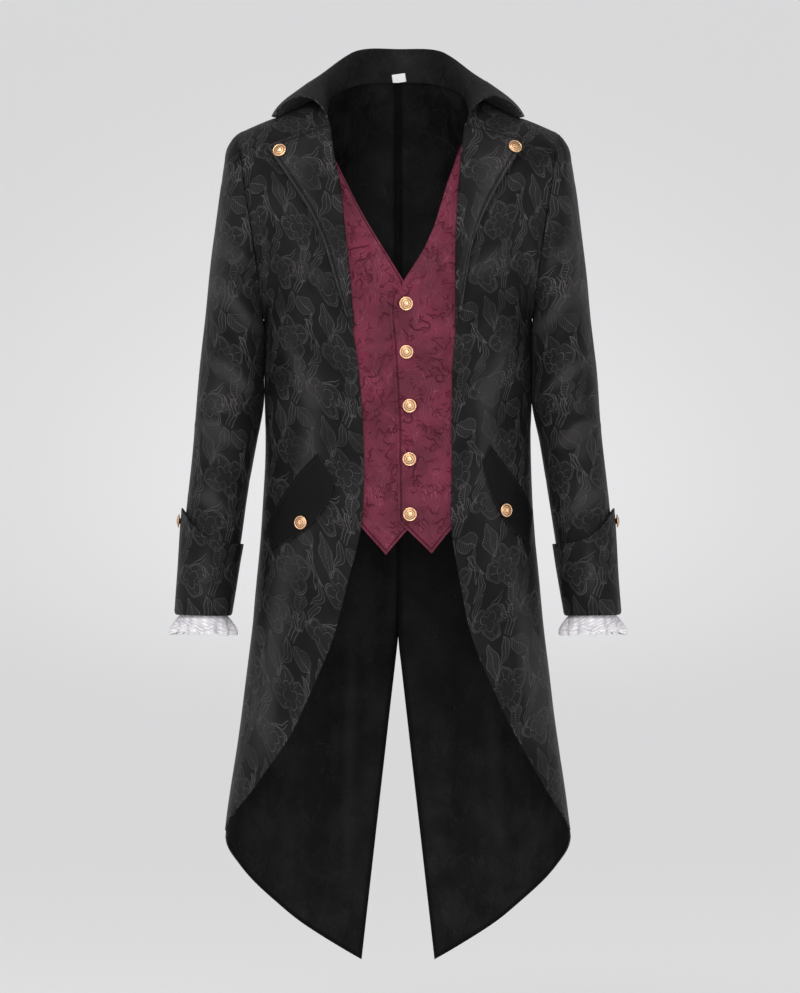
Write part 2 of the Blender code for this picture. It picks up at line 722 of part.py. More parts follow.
def add_buttons(collection):
    for number, (x, drop) in enumerate(VEST_BUTTONS, start=1):
        y = front_depth(x, drop) + VEST_CLEARANCE
        spot = Vector((x, y - SEAM_GAP, -drop))
        button(f"button_vest_{number}", spot, Vector((0, -1, 0)), collection)
    for side, word in SIDES.items():
        for place, spots, base in (
            ("lapel", LAPEL_BUTTONS, 2 * COAT_WALL + LAID_GAP + LAPEL_LIFT + LAPEL_TOP_LIFT / 3),
            ("pocket", FLAP_BUTTONS, 2 * COAT_WALL + LAID_GAP + FLAP_LIFT),
        ):
            out, drop = spots[side]
            seat = lay(side, out, drop, base + SEAM_GAP)
            normal = seat - lay(side, out, drop, 0)
            button(f"button_{place}_{word}", seat, normal, collection)
        top, bottom = -CUFF_TOP[1] - CUFF_PEAK, -CUFF_BOTTOM[1]
        place = cuff_point(side, 0.5, (CUFF_BUTTON_DROP - top) / (bottom - top))
        spot = place + Vector((side * (COAT_WALL + SEAM_GAP), 0, 0))
        button(f"button_cuff_{word}", spot, Vector((side, 0, CUFF_BUTTON_LEAN)), collection)


def main():
    for item in list(bpy.data.objects):
        bpy.data.objects.remove(item, do_unlink=True)
    collection = bpy.data.collections.new("frock_coat")
    bpy.context.scene.collection.children.link(collection)
    add_body(collection)
    add_sleeves(collection)
    add_collar(collection)
    add_lapels_and_flaps(collection)
    add_vest(collection)
    add_buttons(collection)


main()
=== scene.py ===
"""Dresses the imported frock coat: draped figured cloth, lace, stitching and metal buttons.

Lengths are in metres, +Z is up and the front of the coat faces -Y. The origin is midway between the neck
ends of the shoulder seams. "drop" is the distance straight down from it, and side is -1 for the viewer's
left and +1 for the right. Tables give distances out from the middle of the coat for one side.
"""

import math

import bmesh
import bpy
import numpy
from bpy.props import FloatProperty, FloatVectorProperty, PointerProperty
from mathutils import Matrix, Vector
from mathutils.bvhtree import BVHTree


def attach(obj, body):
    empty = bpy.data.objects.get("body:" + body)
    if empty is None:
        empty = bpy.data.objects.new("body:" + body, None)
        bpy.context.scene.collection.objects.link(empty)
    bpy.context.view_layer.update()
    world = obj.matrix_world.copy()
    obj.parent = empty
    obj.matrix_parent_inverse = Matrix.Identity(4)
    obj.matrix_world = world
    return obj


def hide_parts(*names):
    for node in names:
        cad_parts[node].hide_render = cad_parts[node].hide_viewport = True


bl_info = {
    "name": "Frock Coat Dresser",
    "version": (1, 0, 0),
    "blender": (4, 5, 0),
    "location": "3D View > Sidebar > Frock Coat",
    "description": "Dresses a packed frock coat with draped cloth, lace, stitching and metal buttons",
    "category": "Object",
}

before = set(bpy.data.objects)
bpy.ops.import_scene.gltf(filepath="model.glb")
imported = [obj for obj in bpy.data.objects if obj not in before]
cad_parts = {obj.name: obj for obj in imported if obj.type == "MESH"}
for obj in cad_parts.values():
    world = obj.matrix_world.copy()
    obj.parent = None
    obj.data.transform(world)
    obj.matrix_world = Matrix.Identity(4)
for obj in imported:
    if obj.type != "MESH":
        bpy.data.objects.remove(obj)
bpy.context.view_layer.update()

# ---------------------------------------------------------------- driving dimensions

COAT_WALL = 0.0020        # black coat cloth with its lining
VEST_WALL = 0.0015        # waistcoat cloth
THIN_WALL = 0.0004        # lace and label
NECK_GAP = 0.0002         # between the neckline and the collar stand inside it
ARMHOLE_GAP = 0.0007      # below the edge of the sleeve, which laps over the armhole
LAID_GAP = 0.0006         # below a piece that lies on another
LABEL_SIZE = (0.0180, 0.0115)
LABEL_SPOT = (0.0013, 0.0245)   # out and height of its middle
LABEL_OFF = 0.0006        # from the collar's stand to the label's sewn ends
LABEL_BOW = 0.0006        # how much further off its middle is
LABEL_TURN = -8           # degrees

CHEST_DROP = 0.302        # underarm point and chest line
ROUNDNESS = 2.3           # exponent of the body's rings: 2 is an ellipse
ROLL_DROPS = (0.302, 0.240, 0.180, 0.120, 0.085)    # knots of the front's edge above the chest
BACK_DROPS = (0.302, 0.240, 0.170, 0.100, 0.045)    # and of the centre back

# body rings: drop, half width, depth in front of the side seam, depth behind it
BODY = (
    (0.040, 0.1780, 0.0800, 0.1000),
    (0.085, 0.1780, 0.1000, 0.1100),
    (0.130, 0.1770, 0.1100, 0.1160),
    (0.200, 0.1750, 0.1170, 0.1180),
    (0.302, 0.1735, 0.1180, 0.1120),
    (0.400, 0.1732, 0.1130, 0.1000),
    (0.498, 0.1740, 0.1080, 0.0920),
    (0.577, 0.1780, 0.1100, 0.1000),
    (0.682, 0.1875, 0.1160, 0.1140),
    (0.801, 0.2010, 0.1250, 0.1280),
    (0.973, 0.2250, 0.1400, 0.1450),
    (1.160, 0.2400, 0.1500, 0.1600),
)

# front edge: drop, distance out on the viewer's left and right
FRONT_EDGE = (
    (0.046, 0.0930, 0.0905),
    (0.085, 0.0870, 0.0855),
    (0.120, 0.0790, 0.0826),
    (0.180, 0.0717, 0.0790),
    (0.240, 0.0655, 0.0775),
    (0.302, 0.0605, 0.0760),
    (0.360, 0.0518, 0.0712),
    (0.420, 0.0470, 0.0700),
    (0.500, 0.0442, 0.0700),
    (0.575, 0.0485, 0.0695),
    (0.647, 0.0660, 0.0815),
    (0.717, 0.0845, 0.0965),
    (0.785, 0.1122, 0.1247),
    (0.859, 0.1492, 0.1617),
    (0.907, 0.1835, 0.1889),
    (0.950, 0.2165, 0.2150),
)
HEM_TILT = 0.028          # how much lower the front's hem is at the side seam than at the front edge
HEM_TILT_RANGE = (0.3, 1.2)   # shares of the way down between which it sets in

# neckline from the middle of the back over the shoulder seam to the gorge: share, x, y, height
NECKLINE = (
    (0.00, 0.0000, 0.0780, 0.0215),
    (0.25, 0.0500, 0.0620, 0.0180),
    (0.50, 0.0860, 0.0120, 0.0010),
    (0.75, 0.0945, -0.0360, -0.0220),
    (1.00, 0.0918, -0.0740, -0.0460),
)
SHOULDER_SHARE = 0.5      # share of the neckline at the shoulder seam
NECK_COLUMNS = 0.4        # share of the back's width that ends in the neckline
ROLL_SHARE = 7 / 11       # share of the front's upper edge that lies below the gorge

# armhole: an upright ellipse from the underarm to the shoulder point, x and height
UNDERARM = (0.1735, -0.3020)
SHOULDER_POINT = (0.2105, -0.0585)
ARMHOLE_DEPTH = 0.0820    # half its depth from front to back

# tails: share of the way from the vent's edge to the side seam, drop of the hem
TAIL_HEM = (
    (0.00, 1.156),
    (0.14, 1.129),
    (0.28, 1.102),
    (0.42, 1.073),
    (0.57, 1.045),
    (0.73, 1.017),
    (0.86, 0.999),
    (1.00, 0.980),
)
VENT_TOP = 0.565          # where the two back edges part
VENT_APEX = 0.722         # where they cross, seen from the front
VENT_SPREAD = 0.113       # how far a tail's inner edge leans out for each metre of drop
VENT_EASE = 0.070         # drop over which the edges start to lean
PLEAT_DEPTH = 0.010       # how far the viewer's left tail passes behind the right one
PLEAT_WIDTH = 0.038       # how far out from the middle it goes
PLEAT_START = (0.48, 0.60)    # drops between which the pleat opens
PLEAT_END = (0.75, 1.00)      # drops between which it flattens again
PLEAT_LOSS = 0.6              # share of its depth that it loses there
FLUTE_DEPTH = 0.0050      # soft waves round the skirt
FLUTES = 6                # of them in the whole round
FLUTE_RANGE = (0.60, 1.05)    # drops between which the waves grow

# sleeve rings: outer x, height, inner x, height, half depth, how far the middle lies in front
SLEEVE = (
    (0.2118, -0.0555, 0.1791, -0.3070, 0.0850, 0.000),
    (0.2175, -0.0655, 0.1791, -0.3090, 0.0855, 0.000),
    (0.2262, -0.0885, 0.1791, -0.3120, 0.0850, 0.000),
    (0.2343, -0.1430, 0.1791, -0.3200, 0.0835, 0.000),
    (0.2422, -0.2072, 0.1791, -0.3330, 0.0800, 0.000),
    (0.2500, -0.2732, 0.1793, -0.3520, 0.0760, 0.001),
    (0.2567, -0.3392, 0.1794, -0.3780, 0.0720, 0.002),
    (0.2633, -0.4050, 0.1800, -0.4120, 0.0680, 0.004),
    (0.2686, -0.4712, 0.1915, -0.4780, 0.0620, 0.008),
    (0.2758, -0.5370, 0.2026, -0.5450, 0.0565, 0.014),
    (0.2825, -0.6100, 0.2125, -0.6150, 0.0530, 0.020),
    (0.2892, -0.6830, 0.2224, -0.6850, 0.0500, 0.026),
)
SLEEVE_HEAD = 0.09        # share of the sleeve over which its edge leaves the armhole's shape
SLEEVE_SETBACK = 0.0012   # how far the sleeve's edge lies outside the armhole
UNDERARM_SETBACK = 0.0044 # and how much more at the underarm
UNDERARM_SHARPNESS = 6    # how closely that keeps to the underarm
UNDERARM_LAP_LOSS = 0.6   # share of its lap that it loses there

# cuff rings, top and bottom, in the sleeve's columns
CUFF_TOP = (0.2831, -0.5920, 0.2050, -0.5950, 0.0590, 0.019)
CUFF_BOTTOM = (0.2920, -0.6845, 0.2198, -0.6860, 0.0526, 0.026)
CUFF_PEAK = 0.044         # how far the cuff rises at its outer side
CUFF_PEAK_SHARPNESS = 3   # how closely the rise keeps to that side

# lace rings, sewn inside the sleeve end and hanging below it
LACE_TOP = (0.2852, -0.6700, 0.2234, -0.6720, 0.0468, 0.025)
LACE_TURN = (0.2862, -0.6880, 0.2250, -0.6890, 0.0466, 0.026)
LACE_HEM = (0.2945, -0.7120, 0.2165, -0.7130, 0.0540, 0.027)
LACE_SEWN = 0.4           # share of the lace that lies flat inside the sleeve end
LACE_RINGS = ((0.0, *LACE_TOP), (LACE_SEWN, *LACE_TURN), (1.0, *LACE_HEM))
# waves round the lace of each side: how many, their depth, and where they start, as an angle
LACE_GATHERS = {side: ((11, 0.0042, 0), (23, 0.0006, side), (6, 0.0026, 2)) for side in (-1, 1)}
LACE_FLARE = 0.0032       # how far the lace springs out just below the cuff
LACE_FLARE_SHAPE = 0.7    # below 1 makes it fuller
LACE_SCALLOPS = 11        # scallops round the lace's hem
LACE_SCALLOP_DROP = 0.0055
LACE_SCALLOP_SHAPE = 0.6  # below 1 makes them rounder
LACE_SCALLOP_MEAN = 0.6   # of their depth, which goes up as much as down
LACE_SCALLOP_SHIFT = (3, 0.6)    # how often and how far, as an angle, they widen and narrow
LACE_SHADE = (0.80, 0.76, 0.82)  # share of the lace's colour in its shadows

# collar: share from the middle of the back to the front end, crest x, y, height, outer edge x, y, height
COLLAR = (
    (0.00, 0.0000, 0.0900, 0.0640, 0.0000, 0.1190, -0.0040),
    (0.25, 0.0560, 0.0760, 0.0610, 0.0820, 0.1070, -0.0140),
    (0.50, 0.1000, 0.0340, 0.0300, 0.1400, 0.0660, -0.0290),
    (0.75, 0.1210, -0.0020, 0.0080, 0.1660, 0.0210, -0.0300),
    (1.00, 0.1290, -0.0360, -0.0060, 0.1640, -0.0120, -0.0305),
)
COLLAR_CENTRE = 0.010     # y of the point that the stand's seam edge is moved in towards
COLLAR_LAP = 0.0030       # how far the collar's seam edge reaches down inside the neckline
COLLAR_FLATNESS = 0.45    # of the turned-down part: 0 is round, 1 is flat

# outer edge of each lapel from its tip to where it ends on the front edge: share, x, drop
LAPEL_LEFT = (
    (0.00, 0.1676, 0.0805),
    (0.19, 0.1426, 0.1175),
    (0.42, 0.1135, 0.1637),
    (0.61, 0.0955, 0.2033),
    (0.78, 0.0832, 0.2416),
    (1.00, 0.0660, 0.2980),
)
LAPEL_RIGHT = (
    (0.00, 0.1637, 0.0713),
    (0.20, 0.1386, 0.1135),
    (0.40, 0.1188, 0.1492),
    (0.58, 0.1056, 0.1782),
    (0.76, 0.0937, 0.2125),
    (1.00, 0.0800, 0.2900),
)
LAPEL_SPAN = (0.047, 0.312)   # drops of the roll edge's two ends
LAPEL_INSET = 0.0006      # from the front edge to the lapel's roll edge
LAPEL_LIFT = 0.0030       # how far the lapel's outer edge stands off the front
LAPEL_FULL_WIDTH = 0.05   # narrower than this, it lifts less
LAPEL_TOP_LIFT = 0.0010   # more lift where it crosses the rounded front of the shoulder
LAPEL_TOP_RANGE = (0.046, 0.130)  # drops between which that ends

# waistcoat, with x to the viewer's right: share from top to bottom, x, drop
VEST_LAP = (
    (0.00, 0.0066, 0.2530),
    (0.09, -0.0071, 0.2746),
    (0.30, -0.0066, 0.3419),
    (0.58, -0.0026, 0.4316),
    (0.80, -0.0013, 0.4950),
    (1.00, 0.0005, 0.5650),
)
VEST_UNDERLAP = (
    (0.00, 0.0145, 0.2640),
    (1.00, 0.0150, 0.5730),
)
# necklines from the middle to the hidden outer edge: share, x, drop
VEST_NECK_LEFT = (
    (0.00, 0.0145, 0.2640),
    (0.10, 0.0066, 0.2508),
    (0.46, -0.0462, 0.1637),
    (0.80, -0.0858, 0.0858),
    (1.00, -0.0960, 0.0640),
)
VEST_NECK_RIGHT = (
    (0.00, 0.0066, 0.2530),
    (0.32, 0.0409, 0.1954),
    (0.66, 0.0665, 0.1175),
    (0.86, 0.0850, 0.0700),
    (1.00, 0.0930, 0.0640),
)
# pointed hems from the middle to the hidden outer edge: share, x, drop
VEST_HEM_LEFT = (
    (0.00, 0.0150, 0.5730),
    (0.50, -0.0158, 0.6085),
    (1.00, -0.0570, 0.5640),
)
VEST_HEM_RIGHT = (
    (0.00, 0.0005, 0.5650),
    (0.50, 0.0436, 0.6065),
    (1.00, 0.0780, 0.5650),
)
VEST_HIDDEN = 0.0085      # how far the waistcoat reaches behind the front edge
VEST_CLEARANCE = 0.0010   # between the waistcoat and the inside of the front
VEST_STEP = (-0.035, -0.012)  # x between which the underlap goes behind the overlap

# pocket flaps, seen from the front: share along the flap, sewn edge x, drop, free edge x, drop
FLAP_LEFT = (
    (0.00, 0.1030, 0.4757, 0.0820, 0.5130),
    (0.33, 0.1350, 0.5130, 0.0900, 0.5400),
    (0.66, 0.1580, 0.5480, 0.1190, 0.5768),
    (1.00, 0.1690, 0.5729, 0.1620, 0.6010),
)
FLAP_RIGHT = (
    (0.00, 0.1171, 0.4652, 0.1064, 0.4880),
    (0.33, 0.1420, 0.4970, 0.1160, 0.5230),
    (0.66, 0.1600, 0.5230, 0.1370, 0.5640),
    (1.00, 0.1738, 0.5520, 0.1670, 0.5960),
)
FLAP_LIFT = 0.0012        # how far a flap's free edge stands off

# buttons: distance out or x, drop
VEST_BUTTONS = ((0.0106, 0.2817), (0.0110, 0.3445), (0.0150, 0.4145), (0.0148, 0.4838), (0.0156, 0.5557))
LAPEL_BUTTONS = {-1: (0.1510, 0.0860), 1: (0.1492, 0.0815)}
FLAP_BUTTONS = {-1: (0.1225, 0.5671), 1: (0.1365, 0.5510)}
CUFF_BUTTON_DROP = 0.565
CUFF_BUTTON_LEAN = 0.06   # how much it faces up
# degrees that the buttons are turned by
VEST_BUTTON_TURN = 37     # times its number
FRONT_BUTTON_TURN = {-1: -30, 1: 70}
CUFF_BUTTON_TURN = 15

SIDES = {-1: "left", 1: "right"}
SAME_SPOT = 0.000002      # points closer than this are one
RIM_ANGLE = 60            # degrees that make an edge a rim, which is then rounded

CUFF_OUTSIDE = 0.84       # share of the cuff's rows that show; the rest is its fold at the hand
CUFF_BEND = 0.5           # share of the folded rows in the bend itself
CUFF_FOLD = 0.0014        # radius of the bend
CUFF_TURNED_IN = 0.010    # how far the cloth goes back up inside
LAPEL_ROLLED = 0.25       # share of the lapel's columns in its roll
LAPEL_WRAP = 2.6          # how far the roll turns, in radians
LAPEL_UNDER = 0.0004      # how far the roll's end goes into the front's cloth
LAPEL_STANDING = 0.0040   # how much further the lapel's outer edge stands off than in the solid
LAPEL_STANDING_SHAPE = 1.5    # above 1 makes it curl up towards that edge
LAPEL_BUTTON_RISE = 0.7   # share of that at its button
FLAP_SWELL = (0.0005, 0.0025, 0.0020)    # height, distance from the flap's edge and width of its padded rim
FOLD_RANGE = 0.0090       # from the deepest hollow to the highest ridge that the painted shade and painted highlight follow
SLEEVE_FULLNESS = (0.0010, 0.020, 0.014)  # of the sleeve head: height, distance from its seam, width
SLEEVE_SEAM_DIP = (0.0007, 0.006)  # how far the seam holds the sleeve's edge down, and how far from it
SEAM_DIP = (0.0006, 0.0022)        # the same at the other seams
SEAM_SWELL = 0.6          # height of the swell beside such a dip, as a share of it

# how far from an edge the folds are held down by its seam or hem
SEAM_HOLD = 0.02
SLEEVE_END_HOLD = 0.06
FLAP_HOLD = 0.01
VEST_HOLD = 0.006
VENT_FREE = 0.05          # drop over which the vent's edges come free

# grid of points that each piece is worked out from: columns, rows, and how many times finer it gets
GRIDS = {
    "front": (24, 60, 4),
    "back": (24, 60, 4),
    "sleeve": (40, 44, 3),
    "cuff": (36, 24, 3),
    "lace": (132, 10, 3),
    "collar": (48, 20, 3),
    "label": (12, 8, 2),
    "lapel": (24, 44, 3),
    "flap": (24, 10, 4),
    "vest": (18, 44, 4),
}
# where each piece is cut from the figured cloth: shift across and up
PATTERN_SHIFTS = {
    "front": (0.0, 0.0),
    "back": (0.03, 0.06),
    "sleeve": (0.01, 0.05),
    "cuff": (0.03, -0.03),
    "collar": (0.0, 0.05),
    "lapel": (0.02, 0.045),
    "vest": (0.035, 0.02),
}
# gentle bumps of each piece's cloth: height, size, seed
BUMPS = {
    "front": (0.0014, 0.16, 11),
    "back": (0.0018, 0.15, 21),
    "sleeve": (0.0012, 0.09, 31),
    "cuff": (0.0007, 0.07, 41),
    "collar": (0.0009, 0.08, 51),
    "lapel": (0.0005, 0.07, 61),
    "flap": (0.0007, 0.05, 71),
    "vest": (0.0005, 0.05, 81),
}

BUTTON_DOME = 0.0074      # radius of the dome inside the rim
BUTTON_CROWN = 0.0050     # height of the dome's middle
BUTTON_FALL = 0.0018      # how much lower the dome's edge lies
BUTTON_BACK = 0.0010      # height of the top of its back, which has no relief
BUTTON_RELIEF = 0.00034
BUTTON_CALM = 0.9         # share of the dome at which its relief starts to flatten
BUTTON_PETALS = 5
BUTTON_HEART = 0.52       # how far the flower reaches over the dome
BUTTON_PETAL_RIM = (0.62, 0.38)    # share of that between the petals, and how much more at their tips
BUTTON_PETAL_EDGE = (-0.06, 0.03)  # from there, where the flower's edge falls
BUTTON_PETAL_HEIGHT = (0.55, 0.45, 0.4)  # in the creases, how much more beside them, how narrow they are
BUTTON_BOSS = (0.10, 0.16)     # shares of the dome between which the flower's middle falls
BUTTON_BOSS_HEIGHT = 1.25
BUTTON_LEAVES = 9              # pairs of them round the dome
BUTTON_LEAF_RING = (0.72, 0.085)   # where the ring of leaves lies on the dome, and its width
BUTTON_LEAF_HEIGHT = (0.35, 0.65)  # between the leaves, and how much more on them
BUTTON_LEAF_SLANT = 6          # how far they turn from the dome's middle to its edge, as an angle
BUTTON_ROPE = 24          # twists round the rim
BUTTON_ROPE_HEIGHT = 0.00008
BUTTON_ROPED = 0.0026     # the rim is roped above this height
BUTTON_RINGS = 22         # rings of faces in the dome
BUTTON_TURNS = 96         # faces round it
# rim and back of a button: radius, height
BUTTON_RIM = (
    (0.0076, 0.0029),
    (0.0079, 0.0033),
    (0.0083, 0.0034),
    (0.0087, 0.0032),
    (0.0090, 0.0027),
    (0.0090, 0.0023),
    (0.0087, 0.0021),
    (0.0040, 0.0013),
    (0.0036, 0.0010),
    (0.0036, 0.0000),
    (0.0000, 0.0000),
)

# rows of stitches: distance from the edge, colour
COAT_STITCH = (0.0050, (0.020, 0.019, 0.020))
VEST_STITCH = (0.0055, (0.085, 0.012, 0.026))
STITCH_SPACING = 0.0028
STITCH_LENGTH = 0.0020
STITCH_WIDTH = 0.0009
NET_HOLE = 0.0015         # of the lace
LACE_FLOWER = (0.0125, 0.0110)   # repeat of its small flowers
LACE_ROW = 0.0044         # spacing of the worked rows at its hem
LACE_ROWS_END = 0.012     # how far up from the hem they go
LABEL_THREAD = 0.0006     # repeat of its weave

# scales of the finishes' noise
CLOTH_CLOUD = 18.0
CLOTH_FIBRE = 900.0
SATIN_CLOUD = 30.0
SATIN_FIBRE = 1100.0
LACE_CLOUD = 90.0
BRASS_CLOUD = 220.0
BRASS_SCRATCHES = 1400.0
CRINKLE_SCALES = (42.0, 75.0)
CRINKLE_FINE = 0.7        # strength of the finer crinkles
LINE_CORE = 0.35          # shares of a thread's width at which it starts and ends to fade
LINE_REACH = 0.75
VEIN = 0.8                # width of the figure's veins, as a share of its outlines'
RELIEF_SHARES = (0.9, 0.7, 0.10, 1.8)  # of the figure's lines and padding, the fibre and the cloud
PADDING = 0.6             # height of the padded parts
PADDING_TONE = 0.34       # how much of it shows in the colour
BUTTON_HOLLOW_SHADE = 0.30         # share of the brass colour in the painted shade of the hollows

STAGE_FLAT = 14.0         # radius of the level floor
STAGE_BEND = 7.0          # radius of the curve between floor and wall
STAGE_RUN = 24.5          # from the floor's middle to the wall's top, along the section
STAGE_TURNS = 96          # faces round it
STAGE_RINGS = 48          # and along its section
STAGE_SAME_SPOT = 0.0001
# lights: name, place, aim, size, spread in degrees, the setting with its power
LIGHTS = (
    ("above", (-0.8, -3.0, 2.4), (0, 0, -0.5), (1.6, 1.6), 180, "key_power"),
    ("front", (0.6, -5.0, 0.2), (0, 0, -0.6), (2.4, 2.0), 180, "front_power"),
    ("left", (-3.2, -1.6, 0.3), (0, 0, -0.55), (1.4, 3.2), 180, "side_power"),
    ("right", (3.2, -1.6, 0.3), (0, 0, -0.55), (1.4, 3.2), 180, "side_power"),
    ("backdrop", (0.0, 8.0, 3.6), (0, 19.0, -1.2), (1.6, 1.2), 26, "backdrop_power"),
)
VIEW_MIDDLE = (0.00264, -0.53262)    # x and height in the middle of the picture
SENSOR_WIDTH = 36.0       # of the camera, in millimetres

# folds seen from the front: start and end as x and drop, width, height, and below 0 a hollow
SHOULDER_SWELLS = {side: ((side * 0.165, 0.030), (side * 0.236, 0.075), 0.020, 0.0026) for side in SIDES}
# the body swells out to the sleeves as far down as they touch
BODY_SWELLS = {
    side: (
        ((side * 0.179, 0.245), (side * 0.181, 0.440), 0.009, 0.0016),
        ((side * 0.178, 0.262), (side * 0.179, 0.335), 0.009, 0.0011),
        SHOULDER_SWELLS[side],
    )
    for side in SIDES
}
FRONT_CREASES = {
    -1: (
        ((-0.100, 0.330), (-0.128, 0.640), 0.016, 0.0030),
        ((-0.075, 0.360), (-0.085, 0.600), 0.012, -0.0020),
        ((-0.150, 0.310), (-0.110, 0.420), 0.012, 0.0030),
        ((-0.145, 0.600), (-0.180, 0.900), 0.018, 0.0040),
        ((-0.110, 0.640), (-0.150, 0.850), 0.014, -0.0025),
        ((-0.085, 0.260), (-0.150, 0.210), 0.012, 0.0025),
        *BODY_SWELLS[-1],
    ),
    1: (
        ((0.105, 0.320), (0.125, 0.640), 0.016, 0.0030),
        ((0.085, 0.350), (0.095, 0.600), 0.012, -0.0020),
        ((0.150, 0.300), (0.115, 0.420), 0.012, 0.0030),
        ((0.150, 0.600), (0.190, 0.880), 0.018, 0.0040),
        ((0.115, 0.640), (0.155, 0.850), 0.014, -0.0025),
        ((0.090, 0.250), (0.150, 0.200), 0.012, 0.0025),
        *BODY_SWELLS[1],
    ),
}
BACK_CREASES = {
    -1: (
        ((-0.060, 0.700), (-0.070, 1.060), 0.012, 0.0045),
        ((-0.095, 0.720), (-0.110, 1.030), 0.016, -0.0035),
        *BODY_SWELLS[-1],
    ),
    1: (
        ((0.120, 0.750), (0.140, 1.040), 0.014, 0.0045),
        ((0.080, 0.720), (0.090, 1.080), 0.016, -0.0035),
        *BODY_SWELLS[1],
    ),
}
SLEEVE_CREASES = {
    side: (
        ((side * 0.180, 0.250), (side * 0.181, 0.450), 0.009, 0.0014),
        ((side * 0.179, 0.262), (side * 0.179, 0.335), 0.009, 0.0006),
        SHOULDER_SWELLS[side],
        ((side * 0.190, 0.235), (side * 0.232, 0.200), 0.010, 0.0030),
        ((side * 0.185, 0.320), (side * 0.236, 0.250), 0.009, 0.0046),
        ((side * 0.185, 0.365), (side * 0.244, 0.305), 0.008, -0.0036),
        ((side * 0.190, 0.400), (side * 0.250, 0.345), 0.009, 0.0046),
        ((side * 0.196, 0.440), (side * 0.256, 0.425), 0.007, -0.0026),
        ((side * 0.205, 0.470), (side * 0.262, 0.430), 0.009, 0.0040),
        ((side * 0.200, 0.520), (side * 0.265, 0.480), 0.008, -0.0030),
        ((side * 0.215, 0.560), (side * 0.270, 0.520), 0.009, 0.0036),
        ((side * 0.222, 0.120), (side * 0.236, 0.340), 0.012, 0.0030),
        ((side * 0.232, 0.360), (side * 0.246, 0.560), 0.011, 0.0030),
    )
    for side in SIDES
}
CUFF_CREASES = {side: (((side * 0.250, 0.590), (side * 0.254, 0.680), 0.010, 0.0026),) for side in SIDES}
COLLAR_CREASES = (
    ((-0.120, -0.020), (-0.060, -0.055), 0.008, 0.0015),
    ((0.120, -0.020), (0.060, -0.055), 0.008, 0.0015),
)
LAPEL_CREASES = {side: (((side * 0.100, 0.090), (side * 0.130, 0.100), 0.010, 0.0012),) for side in SIDES}
VEST_CREASES = {
    -1: (
        ((-0.060, 0.200), (-0.020, 0.300), 0.006, 0.0012),
        ((-0.050, 0.340), (-0.012, 0.350), 0.005, 0.0010),
        ((-0.045, 0.410), (-0.010, 0.420), 0.005, -0.0009),
        ((-0.045, 0.480), (-0.012, 0.500), 0.005, 0.0010),
        ((-0.040, 0.560), (-0.010, 0.555), 0.005, -0.0009),
    ),
    1: (
        ((0.030, 0.290), (0.065, 0.250), 0.006, 0.0012),
        ((0.020, 0.350), (0.060, 0.330), 0.005, 0.0010),
        ((0.020, 0.420), (0.060, 0.400), 0.005, -0.0009),
        ((0.020, 0.490), (0.060, 0.480), 0.005, 0.0010),
        ((0.020, 0.560), (0.055, 0.545), 0.005, -0.0009),
    ),
}


# ---------------------------------------------------------------- tables and curves

def smooth(rows, at):
    """Values of a table at one value of its first column, on a smooth curve through its rows."""
    table = numpy.array(rows)
    knots, values = table[:, 0], table[:, 1:]
    at = min(max(at, knots[0]), knots[-1])
    slopes = numpy.gradient(values, knots, axis=0)
    low = min(int(numpy.searchsorted(knots, at, side="right")) - 1, len(knots) - 2)
    step = knots[low + 1] - knots[low]
    t = (at - knots[low]) / step
    return (
        (2 * t ** 3 - 3 * t ** 2 + 1) * values[low]
        + (t ** 3 - 2 * t ** 2 + t) * step * slopes[low]
        + (3 * t ** 2 - 2 * t ** 3) * values[low + 1]
        + (t ** 3 - t ** 2) * step * slopes[low + 1]
    )


def straight(rows, at):
    """Values of a table at one value of its first column, with straight lines between its rows."""
    table = numpy.array(rows)
    return numpy.array([numpy.interp(at, table[:, 0], column) for column in table[:, 1:].T])


def by_length(points):
    """A table of points whose first column is the share of the length run so far."""
    points = [numpy.array(point) for point in points]
    run = [0.0]
    for before, after in zip(points, points[1:]):
        run.append(run[-1] + float(numpy.linalg.norm(after - before)))
    return [(length / run[-1], *point) for length, point in zip(run, points)]


def mirrored(rows, odd):
    """A table from -1 to 1 out of one from 0 to 1; the columns listed in odd change sign."""
    signs = [-1 if column in odd else 1 for column in range(len(rows[0]))]
    other = [tuple(value * sign for value, sign in zip(row, signs)) for row in reversed(rows[1:])]
    return other + list(rows)


def ease(t):
    """A soft start and a soft stop between 0 and 1."""
    t = min(max(t, 0.0), 1.0)
    return t * t * (3 - 2 * t)


def ramp(value, start, end):
    return ease((value - start) / (end - start))


def mix(a, b, t):
    return a + (b - a) * t


def patch(bottom, top, left, right, share, rise):
    """A point inside four edge curves, which meet at their ends (a Coons patch)."""
    lift = ease(rise)
    across = mix(bottom(share), top(share), lift)
    along = mix(left(rise), right(rise), share)
    corners = mix(mix(bottom(0), bottom(1), share), mix(top(0), top(1), share), lift)
    return across + along - corners


# ---------------------------------------------------------------- the body of the coat

def ring_angle(out, drop):
    """How far round the ring a point lies, from the middle line to the side seam."""
    half_width = smooth(BODY, drop)[0]
    share = min(abs(out) / half_width, 1.0) ** (ROUNDNESS / 2)
    return math.copysign(math.asin(share), out)


def ring_point(side, angle, drop, behind):
    half_width, front, back = smooth(BODY, drop)
    power = 2 / ROUNDNESS
    out = math.copysign(half_width * abs(math.sin(angle)) ** power, angle)
    depth = max(math.cos(angle), 0.0) ** power
    flute = FLUTE_DEPTH * ramp(drop, *FLUTE_RANGE) * math.sin(FLUTES * abs(angle))
    y = back * depth if behind else -front * depth
    y += flute * (1 if behind else -0.5) * math.cos(angle)
    return numpy.array((side * out, y, -drop))


def front_depth(x, drop):
    half_width, front, _ = smooth(BODY, drop)
    share = min(abs(x) / half_width, 1.0)
    return -front * (1 - share ** ROUNDNESS) ** (1 / ROUNDNESS)


